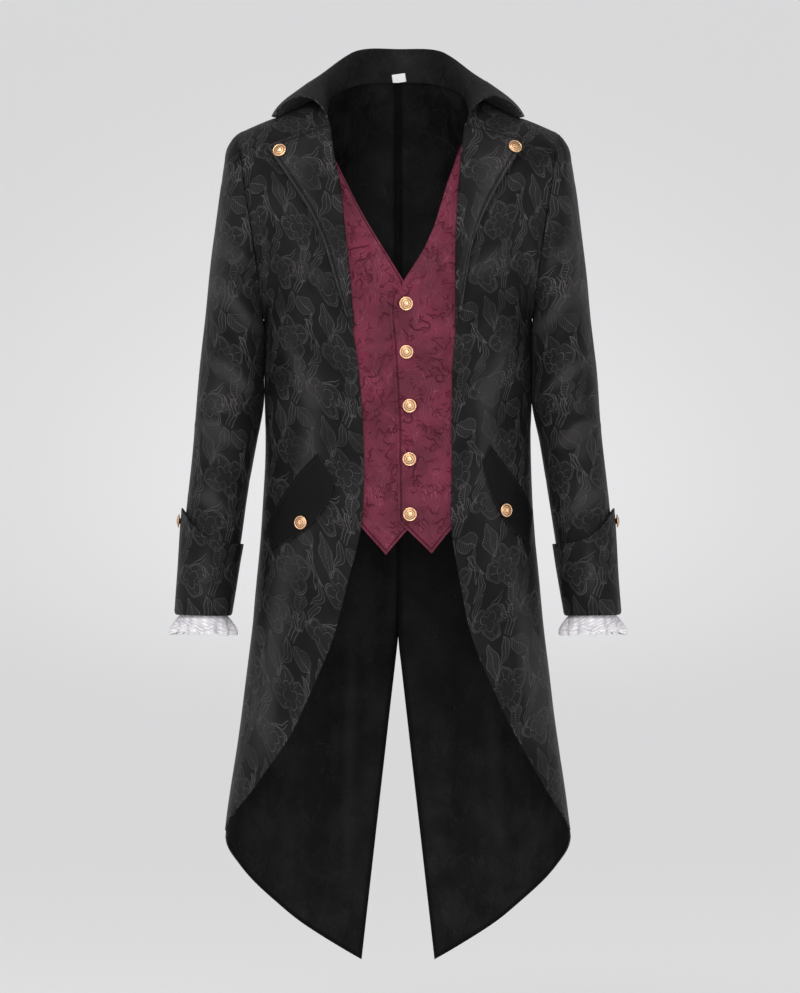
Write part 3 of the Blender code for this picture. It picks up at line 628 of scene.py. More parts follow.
def neck_point(side, share):
    x, y, height = smooth(mirrored(NECKLINE, (0, 1)), share)
    return numpy.array((side * x, y, height))


def armhole_point(side, angle):
    """Angle 0 is the underarm, a quarter turn is in front and half a turn is the shoulder point."""
    low, high = numpy.array(UNDERARM), numpy.array(SHOULDER_POINT)
    x, height = (low + high) / 2 + (low - high) / 2 * math.cos(angle)
    return numpy.array((side * x, -ARMHOLE_DEPTH * math.sin(angle), height))


def shoulder_seam(side, share):
    tip = armhole_point(side, math.pi)
    return mix(neck_point(side, SHOULDER_SHARE), tip, share)


def edge_out(side, drop):
    return smooth(FRONT_EDGE, drop)[0 if side < 0 else 1]


def front_roll(side):
    """The front's edge from the chest line up to the gorge, then the neckline to the shoulder seam."""
    points = []
    for drop in ROLL_DROPS:
        out = edge_out(side, drop)
        points.append((side * out, front_depth(out, drop), -drop))
    points.append(neck_point(side, 1.0))
    rows = [(run * ROLL_SHARE, *point) for run, *point in by_length(points)]
    for run in (0.25, 0.5, 0.75, 1.0):
        rows.append((mix(ROLL_SHARE, 1, run), *neck_point(side, mix(1, SHOULDER_SHARE, run))))
    return rows


FRONT_ROLLS = {side: front_roll(side) for side in SIDES}


def front_point(side, share, level):
    """share runs from the front edge to the side; level from 0 at the hem over 1 at the chest to 2."""
    if level <= 1:
        fall = 1 - level
        drop = mix(CHEST_DROP, FRONT_EDGE[-1][0], fall)
        start = ring_angle(edge_out(side, drop), drop)
        drop += HEM_TILT * share * ramp(fall, *HEM_TILT_RANGE)
        point = ring_point(side, mix(start, math.pi / 2, share), drop, behind=False)
    else:
        start = ring_angle(edge_out(side, CHEST_DROP), CHEST_DROP)
        point = patch(
            lambda s: ring_point(side, mix(start, math.pi / 2, s), CHEST_DROP, behind=False),
            lambda s: shoulder_seam(side, s),
            lambda t: smooth(FRONT_ROLLS[side], t),
            lambda t: armhole_point(side, math.pi * ease(t)),
            share,
            level - 1,
        )
    return Vector(point)


def vent_out(side, drop):
    """How far out from the middle a back half's inner edge lies."""
    lean = (drop - VENT_APEX) * VENT_SPREAD
    if side > 0:
        return max(lean, 0.0)
    return lean * ramp(drop, VENT_TOP, VENT_TOP + VENT_EASE)


def back_top(side, share):
    if share < NECK_COLUMNS:
        return neck_point(side, share / NECK_COLUMNS * SHOULDER_SHARE)
    return shoulder_seam(side, (share - NECK_COLUMNS) / (1 - NECK_COLUMNS))


def back_middle(side, rise):
    points = [(0, smooth(BODY, drop)[2], -drop) for drop in BACK_DROPS]
    return smooth(by_length(points + [neck_point(side, 0)]), rise)


def back_point(side, share, level):
    """share runs from the middle of the back to the side; level as in front_point."""
    if level <= 1:
        hem = smooth(TAIL_HEM, share)[0]
        drop = mix(CHEST_DROP, hem, 1 - level)
        start = ring_angle(vent_out(side, drop), drop)
        point = ring_point(side, mix(start, math.pi / 2, share), drop, behind=True)
    else:
        point = patch(
            lambda s: ring_point(side, s * math.pi / 2, CHEST_DROP, behind=True),
            lambda s: back_top(side, s),
            lambda t: back_middle(side, t),
            lambda t: armhole_point(side, -math.pi * ease(t)),
            share,
            level - 1,
        )
    if side < 0:
        near = 1 - ramp(-point[0], 0.0, PLEAT_WIDTH)
        opened = ramp(-point[2], *PLEAT_START) * (1 - PLEAT_LOSS * ramp(-point[2], *PLEAT_END))
        point[1] += PLEAT_DEPTH * near * opened
    return Vector(point)


# ---------------------------------------------------------------- sleeves, cuffs and lace

def tube_ring(side, ring, angle):
    """A point on an upright tube's ring; angle 0 is its inner side and half a turn its outer side."""
    outer_x, outer_height, inner_x, inner_height, half_depth, forward = ring
    swing = (1 - math.cos(angle)) / 2
    x = mix(inner_x, outer_x, swing)
    height = mix(inner_height, outer_height, swing)
    return numpy.array((side * x, -half_depth * math.sin(angle) - forward, height))


def tube_angle(turn):
    """Angle round a tube whose points crowd at the underarm and shoulder as the armhole's do."""
    half = turn * 2
    return math.pi * (ease(half) if half <= 1 else 1 + ease(half - 1))


def sleeve_edge(side, angle):
    """The sleeve's edge, just outside the armhole and lapped over it."""
    lap = COAT_WALL + ARMHOLE_GAP
    inner = (1 + math.cos(angle)) / 2
    out = SLEEVE_SETBACK + UNDERARM_SETBACK * inner ** UNDERARM_SHARPNESS
    down = lap * math.cos(angle) * (1 - UNDERARM_LAP_LOSS * inner)
    return armhole_point(side, angle) + numpy.array((side * out, -lap * math.sin(angle), -down))


def sleeve_point(side, turn, run):
    rows = [(index / (len(SLEEVE) - 1), *ring) for index, ring in enumerate(SLEEVE)]
    angle = tube_angle(turn)
    start = sleeve_edge(side, angle) - tube_ring(side, SLEEVE[0], angle)
    return Vector(tube_ring(side, smooth(rows, run), angle) + start * (1 - ramp(run, 0.0, SLEEVE_HEAD)))


def tube_middle(side, ring, height):
    return Vector((side * (ring[0] + ring[2]) / 2, -ring[5], height))


def cuff_point(side, turn, run):
    angle = turn * 2 * math.pi
    ring = mix(numpy.array(CUFF_TOP), numpy.array(CUFF_BOTTOM), run)
    point = Vector(tube_ring(side, ring, angle))
    point.z += CUFF_PEAK * ((1 - math.cos(angle)) / 2) ** CUFF_PEAK_SHARPNESS * (1 - run)
    return point


def cuff_sheet_point(side, turn, run):
    """The cuff from its pointed top down, round the fold at the hand and up inside the sleeve."""
    if run <= CUFF_OUTSIDE:
        return cuff_point(side, turn, run / CUFF_OUTSIDE)
    bottom = cuff_point(side, turn, 1)
    inward = (tube_middle(side, CUFF_BOTTOM, bottom.z) - bottom).normalized()
    fold = (run - CUFF_OUTSIDE) / (1 - CUFF_OUTSIDE)
    bend = min(fold / CUFF_BEND, 1.0) * math.pi
    rise = max(fold - CUFF_BEND, 0.0) / (1 - CUFF_BEND) * CUFF_TURNED_IN
    depth = CUFF_FOLD * (1 - math.cos(bend))
    return bottom + inward * depth + Vector((0, 0, rise - CUFF_FOLD * math.sin(bend)))


def lace_point(side, turn, run):
    """Gathered lace whose folds open and whose scallops drop towards the hem."""
    angle = turn * 2 * math.pi
    fall = ramp(run, LACE_SEWN, 1.0)
    below = max(run - LACE_SEWN, 0.0) / (1 - LACE_SEWN)
    ring = straight(LACE_RINGS, run)
    point = Vector(tube_ring(side, ring, angle))
    outward = (point - tube_middle(side, ring, point.z)).normalized()
    gathers = sum(math.sin(waves * angle + start) * depth for waves, depth, start in LACE_GATHERS[side])
    flare = LACE_FLARE * math.sin(math.pi * below) ** LACE_FLARE_SHAPE
    times, shift = LACE_SCALLOP_SHIFT
    scallop = math.sin(angle * LACE_SCALLOPS / 2 + shift * math.sin(angle * times))
    drop = LACE_SCALLOP_DROP * (abs(scallop) ** LACE_SCALLOP_SHAPE - LACE_SCALLOP_MEAN) * fall ** 2
    return point + outward * (gathers * fall + flare) - Vector((0, 0, drop))


# ---------------------------------------------------------------- collar

def collar_point(turn, run):
    """turn runs from -1 at the left end to 1; run from the neck seam over the crest to the edge."""
    seam = neck_point(1, turn)
    inward = Vector((-seam[0], COLLAR_CENTRE - seam[1], 0)).normalized() * (COAT_WALL + NECK_GAP)
    seam = seam + numpy.array((inward.x, inward.y, -COLLAR_LAP))
    row = smooth(mirrored(COLLAR, (0, 1, 4)), turn)
    crest, edge = row[:3], row[3:]
    angle = math.pi * run
    if run < 0.5:
        out, up = 1 - math.cos(angle), math.sin(angle)
        start, end = seam, crest
    else:
        out, up = -math.cos(angle), 1 - math.sin(angle)
        flat = 2 * run - 1
        out, up = mix(out, flat, COLLAR_FLATNESS), mix(up, flat, COLLAR_FLATNESS)
        start, end = crest, edge
    return Vector((mix(start[0], end[0], out), mix(start[1], end[1], out), mix(start[2], end[2], up)))


# ---------------------------------------------------------------- pieces that lie on a front

def skin(point, side, columns=60, rows=120):
    """A fine copy of a panel to lay other pieces on, made of columns by rows of faces."""
    spots = [
        point(side, column / columns, 2 * row / rows)
        for row in range(rows + 1)
        for column in range(columns + 1)
    ]
    quads = []
    for row in range(rows):
        for column in range(columns):
            first = row * (columns + 1) + column
            quads.append((first, first + 1, first + columns + 2, first + columns + 1))
    return BVHTree.FromPolygons(spots, quads)


FRONT_SKINS = {side: skin(front_point, side) for side in SIDES}


def lay(side, out, drop, lift):
    """A point of a front, found from ahead of it, moved out of the cloth."""
    spot, normal, _, _ = FRONT_SKINS[side].ray_cast(Vector((side * out, -1, -drop)), Vector((0, 1, 0)))
    if spot is None:
        guess = Vector((side * out, front_depth(out, drop), -drop))
        spot, normal, _, _ = FRONT_SKINS[side].find_nearest(guess)
    if normal.y > 0:
        normal = -normal
    return spot + normal * lift


def lapel_point(side, share, run):
    """share runs from the roll edge to the free edge; run from the lapel's tip down to its end."""
    roll_drop = mix(*LAPEL_SPAN, run)
    roll = numpy.array((edge_out(side, roll_drop) + LAPEL_INSET, roll_drop))
    outer = smooth(LAPEL_LEFT if side < 0 else LAPEL_RIGHT, run)
    out, drop = mix(roll, outer, share)
    width = float(numpy.linalg.norm(outer - roll))
    lift = COAT_WALL + LAID_GAP + LAPEL_LIFT * ease(share) * ramp(width, 0.0, LAPEL_FULL_WIDTH)
    lift += LAPEL_TOP_LIFT * (1 - ramp(drop, *LAPEL_TOP_RANGE))
    return lay(side, out, drop, lift)


def lapel_sheet_point(side, share, run):
    """The lapel from its roll, which wraps the front's edge, out to its free edge."""
    if share >= LAPEL_ROLLED:
        return lapel_point(side, (share - LAPEL_ROLLED) / (1 - LAPEL_ROLLED), run)
    over = lapel_point(side, 0, run)
    under = lay(side, edge_out(side, -over.z) + LAPEL_INSET, -over.z, -LAPEL_UNDER)
    middle, radius = (over + under) / 2, (over - under) / 2
    angle = (1 - share / LAPEL_ROLLED) * LAPEL_WRAP
    return middle + radius * math.cos(angle) + Vector((-side, 0, 0)) * radius.length * math.sin(angle)


def flap_point(side, along, across):
    row = smooth(FLAP_LEFT if side < 0 else FLAP_RIGHT, along)
    out, drop = mix(row[:2], row[2:], across)
    return lay(side, out, drop, COAT_WALL + LAID_GAP + FLAP_LIFT * across)


# ---------------------------------------------------------------- waistcoat front

def vest_point(side, share, fall):
    """share runs from the middle to the edge hidden behind the front; fall from neckline to hem."""
    middle = VEST_LAP if side > 0 else VEST_UNDERLAP
    neck = VEST_NECK_RIGHT if side > 0 else VEST_NECK_LEFT
    hem = VEST_HEM_RIGHT if side > 0 else VEST_HEM_LEFT

    def hidden(t):
        drop = mix(neck[-1][2], hem[-1][2], t)
        return numpy.array((side * (edge_out(side, drop) + VEST_HIDDEN), drop))

    hem_end, neck_end = hidden(1), hidden(0)
    hem_rows = (*hem[:-1], (1.0, *hem_end))
    neck_rows = (*neck[:-1], (1.0, *neck_end))
    across = mix(smooth(neck_rows, share), straight(hem_rows, share), fall)
    along = mix(smooth(middle, fall), hidden(fall), share)
    top = mix(numpy.array(neck_rows[0][1:]), neck_end, share)
    bottom = mix(numpy.array(hem_rows[0][1:]), hem_end, share)
    x, drop = across + along - mix(top, bottom, fall)
    back = VEST_CLEARANCE + VEST_WALL
    if side < 0:
        back += VEST_WALL * ramp(x, *VEST_STEP)
    return Vector((x, front_depth(x, drop) + back, -drop))


# ---------------------------------------------------------------- cloth as a grid of points

class Cloth:
    """A grid of points, rows by columns, that is refined, pushed about and made into a sheet."""

    def __init__(self, point, grid, closed=False, outward=1):
        columns, rows, times = grid
        spots = [
            [point(column / columns, row / rows) for column in range(columns + 1)]
            for row in range(rows + 1)
        ]
        self.closed = closed
        self.outward = outward
        self.points = finer(finer(numpy.array(spots), times, 0), times, 1, closed)
        self.across = self.run(1)
        self.along = self.run(0)
        self.folds = numpy.zeros_like(self.along)

    def run(self, axis):
        """Length run along each line of points from its first one."""
        steps = numpy.linalg.norm(numpy.diff(self.points, axis=axis), axis=2)
        start = numpy.zeros_like(steps[:1] if axis == 0 else steps[:, :1])
        return numpy.concatenate([start, numpy.cumsum(steps, axis=axis)], axis=axis)

    def normals(self):
        along = numpy.gradient(self.points, axis=0)
        across = numpy.gradient(self.points, axis=1)
        if self.closed:
            across[:, 0] = across[:, -1] = (self.points[:, 1] - self.points[:, -2]) / 2
        normal = numpy.cross(across, along) * self.outward
        return normal / numpy.maximum(numpy.linalg.norm(normal, axis=2, keepdims=True), 1e-12)

    def push(self, height):
        """Moves each point out of the cloth by its own height."""
        self.folds = numpy.broadcast_to(height, self.along.shape)
        self.points = self.points + self.normals() * self.folds[..., None]

    def from_border(self, border):
        """Distance of each point from one border, and the length along that border."""
        if border in ("first column", "last column"):
            away = self.across if border == "first column" else self.across[:, -1:] - self.across
            return away, self.along
        away = self.along if border == "first row" else self.along[-1:] - self.along
        return away, self.across

    def nearest(self, *borders):
        """Distance of each point from the nearest of some borders."""
        return numpy.minimum.reduce([self.from_border(border)[0] for border in borders])

    def edge(self, borders):
        """Distance from the nearest of some borders, and the length along it."""
        if not borders:
            return numpy.ones_like(self.along), self.along
        found = [self.from_border(border) for border in borders]
        nearest = numpy.argmin([away for away, _ in found], axis=0)
        away = numpy.choose(nearest, [away for away, _ in found])
        return away, numpy.choose(nearest, [length for _, length in found])


def finer(points, times, axis, closed=False):
    """More points in a grid, on smooth curves through the ones that it has."""
    points = numpy.moveaxis(points, axis, 0)
    before, after = 2 * points[0] - points[1], 2 * points[-1] - points[-2]
    if closed:
        before, after = points[-2], points[1]
    row = numpy.concatenate([before[None], points, after[None]])[:, None]
    a, b, c, d = row[:-3], row[1:-2], row[2:-1], row[3:]
    t = (numpy.arange(times) / times).reshape(1, -1, 1, 1)
    curve = b + t / 2 * (c - a + t * (2 * a - 5 * b + 4 * c - d + t * (3 * b - a - 3 * c + d)))
    curve = numpy.concatenate([curve.reshape(-1, *points.shape[1:]), points[-1:]])
    return numpy.moveaxis(curve, 0, axis)


def bell(distance, width):
    """1 at a line, and softly down to 0 on both sides of it."""
    return numpy.exp(-(distance / width) ** 2)


def free(away, width):
    """0 at a border, where a seam or hem holds the cloth down, and 1 well away from it."""
    return 1 - bell(away, width)


def crease(points, start, end, width, height):
    """A soft ridge, or a hollow if height is below 0, along a line seen from the front as x and drop."""
    start, end = numpy.array(start), numpy.array(end)
    seen = numpy.stack([points[..., 0], -points[..., 2]], axis=-1) - start
    line = end - start
    share = numpy.clip(seen @ line / (line @ line), 0, 1)
    away = numpy.linalg.norm(seen - share[..., None] * line, axis=-1)
    return height * bell(away, width) * numpy.sin(math.pi * share) ** 0.5


def creased(height, points, lines):
    """The height of a cloth with its folds added."""
    for line in lines:
        height = height + crease(points, *line)
    return height


def bumps(points, piece, side=0, waves=7):
    """Gentle bumps that cloth of any cut has: a sum of long waves in all directions."""
    height, size, seed = BUMPS[piece]
    chance = numpy.random.RandomState(seed + side)
    total = 0
    for _ in range(waves):
        direction = chance.normal(size=3)
        direction *= math.tau / size * chance.uniform(0.6, 1.5) / numpy.linalg.norm(direction)
        total = total + numpy.sin(points @ direction + chance.uniform(0, math.tau))
    return height * (total / waves)


def seam_dip(away):
    """Cloth that a seam holds down, with the small swell beside it."""
    depth, width = SEAM_DIP
    return depth * (SEAM_SWELL * bell(away - 3 * width, width) - bell(away, width))


def add_object(name, data):
    made = bpy.data.objects.new(name, data)
    bpy.context.scene.collection.objects.link(made)
    return made


def to_mesh(bm, name):
    """A smooth mesh out of a bmesh, which is freed."""
    mesh = bpy.data.meshes.new(name)
    bm.to_mesh(mesh)
    bm.free()
    mesh.shade_smooth()
    return mesh


def make_sheet(name, cloth, pattern, stitched, wall, settings, finishes, rim_cut=0.0004):
    """A mesh object out of a cloth grid, with its maps, its thickness and its outer and inner finish."""
    rows, columns = (count - 1 for count in cloth.points.shape[:2])
    bm = bmesh.new()
    bmesh.ops.create_grid(bm, x_segments=columns, y_segments=rows, size=0.5)
    for vert, spot in zip(bm.verts, cloth.points.reshape(-1, 3)):
        vert.co = spot
    mesh = bpy.data.meshes.new(name)
    bm.to_mesh(mesh)
    corners = numpy.zeros(len(mesh.loops), numpy.int32)
    mesh.loops.foreach_get("vertex_index", corners)
    # fold heights, for the painted shade in the hollows and the painted highlight on the ridges
    folds = (0.5 + cloth.folds / FOLD_RANGE, 0.0)
    for title, pair in (("Pattern", pattern), ("Edge", cloth.edge(stitched)), ("Folds", folds)):
        flat = numpy.stack([numpy.broadcast_to(part, cloth.along.shape) for part in pair], axis=-1)
        layer = mesh.uv_layers.new(name=title)
        layer.data.foreach_set("uv", flat.reshape(-1, 2)[corners].astype(numpy.float32).ravel())
    bm.free()
    bm = bmesh.new()
    bm.from_mesh(mesh)
    if cloth.closed:
        bmesh.ops.remove_doubles(bm, verts=bm.verts, dist=SAME_SPOT)
    if cloth.outward < 0:
        bmesh.ops.reverse_faces(bm, faces=bm.faces)
    bm.to_mesh(mesh)
    bm.free()
    mesh.shade_smooth()
    for finish in finishes:
        mesh.materials.append(finish_of(settings, finish))
    sheet = add_object(name, mesh)
    thickness = sheet.modifiers.new("Cloth thickness", "SOLIDIFY")
    thickness.thickness = wall
    thickness.offset = 1.0
    thickness.material_offset = len(finishes) - 1
    if rim_cut:
        softened = sheet.modifiers.new("Soft rim", "BEVEL")
        softened.width = rim_cut
        softened.segments = 2
        softened.limit_method = "ANGLE"
        softened.angle_limit = math.radians(RIM_ANGLE)
    return sheet


def place(piece, node):
    """Seats a piece on the coat in place of its plain solid."""
    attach(piece, "root")
    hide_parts(node)


# ---------------------------------------------------------------- shader values

class Value:
    """A shader socket that lays out its own Math nodes when it is used in a sum."""

    def __init__(self, finish, socket):
        self.finish = finish
        self.socket = socket

    def math(self, operation, *others):
        inputs = dict(enumerate((self, *others)))
        return self.finish.node("ShaderNodeMath", {"operation": operation}, inputs)

    def __add__(self, other):
        return self.math("ADD", other)

    def __sub__(self, other):
        return self.math("SUBTRACT", other)

    def __rsub__(self, other):
        return self.finish.node("ShaderNodeMath", {"operation": "SUBTRACT"}, {0: other, 1: self})

    def __mul__(self, other):
        return self.math("MULTIPLY", other)

    def __truediv__(self, other):
        return self.math("DIVIDE", other)

    def __abs__(self):
        return self.math("ABSOLUTE")

    __radd__ = __add__
    __rmul__ = __mul__

    def top(self, other):
        return self.math("MAXIMUM", other)

    def under(self, other):
        return self.math("LESS_THAN", other)

    def over(self, other):
        return self.math("GREATER_THAN", other)

    def wrap(self, half):
        return self.math("WRAP", half, -half)

    def fade(self, start, end, low=0.0, high=1.0):
        """Runs softly from low at start to high at end."""
        settings = {"interpolation_type": "SMOOTHSTEP"}
        inputs = {"Value": self, "From Min": start, "From Max": end, "To Min": low, "To Max": high}
        return self.finish.node("ShaderNodeMapRange", settings, inputs)

    def line(self, width):
        """1 where the value is near 0, as a thread of that width is."""
        return abs(self).fade(width * LINE_CORE, width * LINE_REACH, 1.0, 0.0)


class Finish:
    """One material while its nodes are laid out."""

    def __init__(self, name, constants):
        self.material = bpy.data.materials.new(name)
        self.material.use_nodes = True
        self.tree = self.material.node_tree
        self.shader = self.tree.nodes["Principled BSDF"]
        for title, value in constants.items():
            self.shader.inputs[title].default_value = value

    def node(self, kind, settings, inputs, output=0):
        made = self.tree.nodes.new(kind)
        for title, value in settings.items():
            setattr(made, title, value)
        for title, value in inputs.items():
            socket = made.inputs[title]
            if isinstance(value, Value):
                self.tree.links.new(value.socket, socket)
            else:
                socket.default_value = value
        return Value(self, made.outputs[output])

    def feed(self, title, value):
        self.tree.links.new(value.socket, self.shader.inputs[title])

    def blend(self, share, low, high):
        """A colour between two."""
        return self.node("ShaderNodeMix", {"data_type": "RGBA"}, {0: share, 6: low, 7: high}, output=2)

    def map(self, title):
        return self.node("ShaderNodeUVMap", {"uv_map": title}, {})

    def place(self):
        return self.node("ShaderNodeTexCoord", {}, {}, output=3)

    def parts(self, vector):
        split = self.node("ShaderNodeSeparateXYZ", {}, {0: vector})
        outputs = split.socket.node.outputs
        return Value(self, outputs[0]), Value(self, outputs[1])

    def noise(self, vector, scale, detail=3.0, roughness=0.55):
        inputs = {"Vector": vector, "Scale": scale, "Detail": detail, "Roughness": roughness}
        return self.node("ShaderNodeTexNoise", {"noise_dimensions": "3D"}, inputs)

    def bump(self, height, distance, strength=1.0):
        inputs = {"Strength": strength, "Distance": distance, "Height": height}
        self.feed("Normal", self.node("ShaderNodeBump", {}, inputs))


# ---------------------------------------------------------------- the woven figure

class Figure:
    """Flowers, leaf sprays and scrolls that repeat over the cloth, drawn in raised lines."""

    def __init__(self, finish, cloth, repeat, thread):
        self.finish = finish
        self.cloth = cloth
        self.repeat = repeat
        self.thread = thread
        self.drawn = None
        self.filled = None

    def motif(self, at, turn, tall=1.0):
        """A motif's own coordinates, their length and the angle round its middle."""
        finish = self.finish
        half = (self.repeat[0] / 2, self.repeat[1] / 2, 1.0)
        moved = finish.node("ShaderNodeVectorMath", {"operation": "SUBTRACT"}, {0: self.cloth, 1: (*at, 0.0)})
        ends = {0: moved, 1: half, 2: tuple(-x for x in half)}
        near = finish.node("ShaderNodeVectorMath", {"operation": "WRAP"}, ends)
        about = {"Vector": near, "Angle": -math.radians(turn)}
        turned = finish.node("ShaderNodeVectorRotate", {"rotation_type": "Z_AXIS"}, about)
        if tall != 1.0:
            scale = {0: turned, 1: (1.0, 1.0 / tall, 1.0)}
            turned = finish.node("ShaderNodeVectorMath", {"operation": "MULTIPLY"}, scale)
        x, y = finish.parts(turned)
        reach = finish.node("ShaderNodeVectorMath", {"operation": "LENGTH"}, {0: turned}, output=1)
        return x, y, reach

    def draw(self, lines, inside=None, share=0.35):
        self.drawn = lines if self.drawn is None else self.drawn.top(lines)
        if inside is not None:
            inside = inside * share
            self.filled = inside if self.filled is None else self.filled.top(inside)

    def leaf(self, at, turn, half, wide, bend=0.0, vein=0.0, slant=0.9):
        """A pointed leaf with its midrib, and cross veins if their spacing is given."""
        x, y, _ = self.motif(at, turn)
        share = x / half
        square = share * share
        across = y + square * bend if bend else y
        depth = (1 - square) * wide - abs(across)
        lines = depth.line(self.thread)
        inside = depth.over(0.0)
        rib = across.line(self.thread * VEIN)
        if vein:
            rib = rib.top((x - abs(across) * slant).wrap(vein / 2).line(self.thread * VEIN))
        self.draw(lines.top(rib * inside), inside)

    def spray(self, at, turn, count, spread, near, far, wide, bend=0.0):
        """Leaves that fan out from one point, each an outline with its midrib."""
        x, y, reach = self.motif(at, turn)
        angle = y.math("ARCTAN2", x)
        if bend:
            angle = angle + reach * bend
        half = math.radians(spread) / 2
        across = angle.wrap(half / count) * reach
        share = (reach - (near + far) / 2) / ((far - near) / 2)
        depth = (1 - share * share) * wide - abs(across)
        inside = depth.over(0.0) * abs(angle).under(half)
        lines = depth.line(self.thread) * abs(angle).under(half)
        self.draw(lines.top(across.line(self.thread * VEIN) * inside), inside)

    def flower(self, at, turn, size, lobes, depth, tall=1.0, heart=0.5):
        """A lobed flower: a double outline round a smaller open heart, with veins between them."""
        x, y, reach = self.motif(at, turn, tall)
        angle = y.math("ARCTAN2", x)
        lobe = abs((angle * (lobes / 2)).math("COSINE"))
        rim = lobe * depth + (size - depth) - reach
        core = lobe * (depth * heart * 1.3) + (size - depth) * heart * 0.7 - reach
        lines = rim.line(self.thread).top((rim - self.thread * 2.2).line(self.thread * VEIN))
        veins = (angle.wrap(math.pi / (lobes * 3)) * reach).line(self.thread * VEIN)
        veins = veins * rim.over(size * 0.16) * core.under(size * -0.10)
        self.draw(lines.top(core.line(self.thread)).top(veins), rim.over(0.0), 0.3)

    def arcs(self, at, turn, inner, outer, spacing, spread, tall=1.0):
        """Lines that nest inside each other like the folds of a petal."""
        x, y, reach = self.motif(at, turn, tall)
        inside = abs(reach - (inner + outer) / 2).under((outer - inner) / 2)
        inside = inside * abs(y.math("ARCTAN2", x)).under(math.radians(spread) / 2)
        self.draw(reach.wrap(spacing / 2).line(self.thread) * inside, inside, 0.2)

    def scroll(self, at, turn, radius, spread, wide):
        """A long curved blade: two lines that part and meet again."""
        x, y, reach = self.motif(at, turn)
        share = y.math("ARCTAN2", x) / (math.radians(spread) / 2)
        taper = 1 - share * share
        lines = (abs(reach - radius) - taper * wide).line(self.thread)
        self.draw(lines * taper.over(0.0))


def warped(finish, cloth, repeat):
    """The cloth's coordinates, waved so that the lines bend, mostly alike in every repeat."""
    x, y = finish.parts(cloth)
    across, up = math.tau / repeat[0], math.tau / repeat[1]
    wave_x = (y * (2 * up) + 0.7).math("SINE") * 0.0026 + (y * (7 * up) + x * across).math("SINE") * 0.0010
    wave_y = (x * across + 2.1).math("SINE") * 0.0028 + (x * (4 * across) + y * up).math("SINE") * 0.0010
    wave_x = wave_x + (y * 31.0 + x * 13.0).math("SINE") * 0.0022
    wave_y = wave_y + (x * 43.0 - y * 9.0).math("SINE") * 0.0022
    return finish.node("ShaderNodeCombineXYZ", {}, {0: x + wave_x, 1: y + wave_y})


def figured(finish, cloth, repeat, thread):
    """The whole repeat of the figure, laid out one by one on a cloth of that repeat."""
    figure = Figure(finish, warped(finish, cloth, repeat), repeat, thread)
    figure.flower((0.002, 0.000), 20, 0.0270, 4, 0.0105, tall=1.12, heart=0.5)
    figure.leaf((-0.023, 0.036), 112, 0.0235, 0.0092, bend=0.003, vein=0.0042, slant=1.4)
    figure.leaf((-0.004, 0.047), 82, 0.0185, 0.0055, bend=-0.004)
    figure.leaf((0.017, 0.046), 140, 0.0180, 0.0105, vein=0.0040, slant=-1.2)
    figure.flower((-0.022, -0.064), -75, 0.0235, 3, 0.0105, tall=1.1, heart=0.55)
    figure.arcs((-0.017, -0.066), 0, 0.0205, 0.0320, 0.0045, 100)
    figure.leaf((0.012, -0.037), 105, 0.0170, 0.0070, bend=-0.004, vein=0.0036)
    figure.leaf((0.030, -0.042), 70, 0.0160, 0.0045, bend=0.005)
    figure.leaf((0.030, 0.014), 112, 0.0220, 0.0036, bend=0.008)
    figure.leaf((-0.033, -0.018), 68, 0.0210, 0.0040, bend=-0.008)
    figure.spray((0.016, -0.076), 95, 4, 100, 0.004, 0.028, 0.0036, bend=-9.0)
    figure.scroll((0.000, 0.000), 15, 0.0350, 80, 0.0022)
    figure.scroll((-0.040, -0.005), -50, 0.0450, 45, 0.0022)
    return figure


def crinkles(finish, cloth, scale):
    """Short shallow creases here and there, 1 in their hollows."""
    lines = abs(finish.noise(cloth, scale, 1.5) - 0.5).fade(0.0, 0.035, 1.0, 0.0)
    return lines * finish.noise(cloth, scale * 0.7, 1.0).fade(0.50, 0.62)


def darker(colour, share):
    """A share of a colour, as a shader's input."""
    return (*[part * share for part in colour], 1.0)


def cloth_finish(name, shine):
    return Finish(name, {"Specular IOR Level": shine, "Sheen Weight": 0.01, "Sheen Roughness": 0.4})


def woven(name, ground, raised, dark, roughness, relief, settings, shine=0.06, shown=1.0, thread=1.0,
          stitch=None, crinkled=0.0, seam_shade=0.0):
    """Cloth with the figure in it: colour, gloss and relief all follow the same drawing."""
    finish = cloth_finish(name, shine)
    cloth = finish.map("Pattern")
    repeat = (settings.repeat_width, settings.repeat_height)
    drawing = figured(finish, cloth, repeat, settings.line_width * thread)
    cloud = finish.noise(cloth, CLOTH_CLOUD, 3.0)
    fibre = finish.noise(cloth, CLOTH_FIBRE, 1.0)
    drawn = drawing.drawn * (cloud.fade(0.32, 0.62, 0.4, 1.0) * shown)
    padded = drawing.filled * (PADDING * shown)
    tone = drawn.top(padded * PADDING_TONE)
    fold, _ = finish.parts(finish.map("Folds"))
    # random cloudy tone, with painted shade in the hollows of the folds
    base = finish.blend(cloud.fade(0.35, 0.7) * fold.fade(0.12, 0.5), (*dark, 1.0), (*ground, 1.0))
    # painted highlight on the ridges of the folds
    base = finish.blend(fold.fade(0.55, 1.0, 0.0, 0.30), base, (*raised, 1.0))
    base = finish.blend(fibre.fade(0.3, 0.8, 0.0, 0.08) + tone, base, (*raised, 1.0))
    lines, padding, threads, swell = RELIEF_SHARES
    height = drawn * lines + padded * padding + fibre * threads + cloud * swell
    if crinkled:
        large, fine = (crinkles(finish, cloth, scale) for scale in CRINKLE_SCALES)
        hollow = large.top(fine * CRINKLE_FINE)
        height = height - hollow * (crinkled * 2.0)
        # painted shade in the hollows of the crinkles
        base = finish.blend(hollow * (crinkled * 0.55), base, (*dark, 1.0))
    if stitch:
        height, base = sewn(finish, height, base, stitch)
    if seam_shade:
        away, _ = finish.parts(finish.map("Edge"))
        base = finish.blend(away.fade(0.003, 0.009, seam_shade, 0.0), base, darker(dark, 0.3))
    finish.feed("Base Color", base)
    finish.feed("Roughness", cloud * 0.16 + (roughness - 0.05) - tone * 0.12)
    finish.bump(height, relief)
    return finish.material


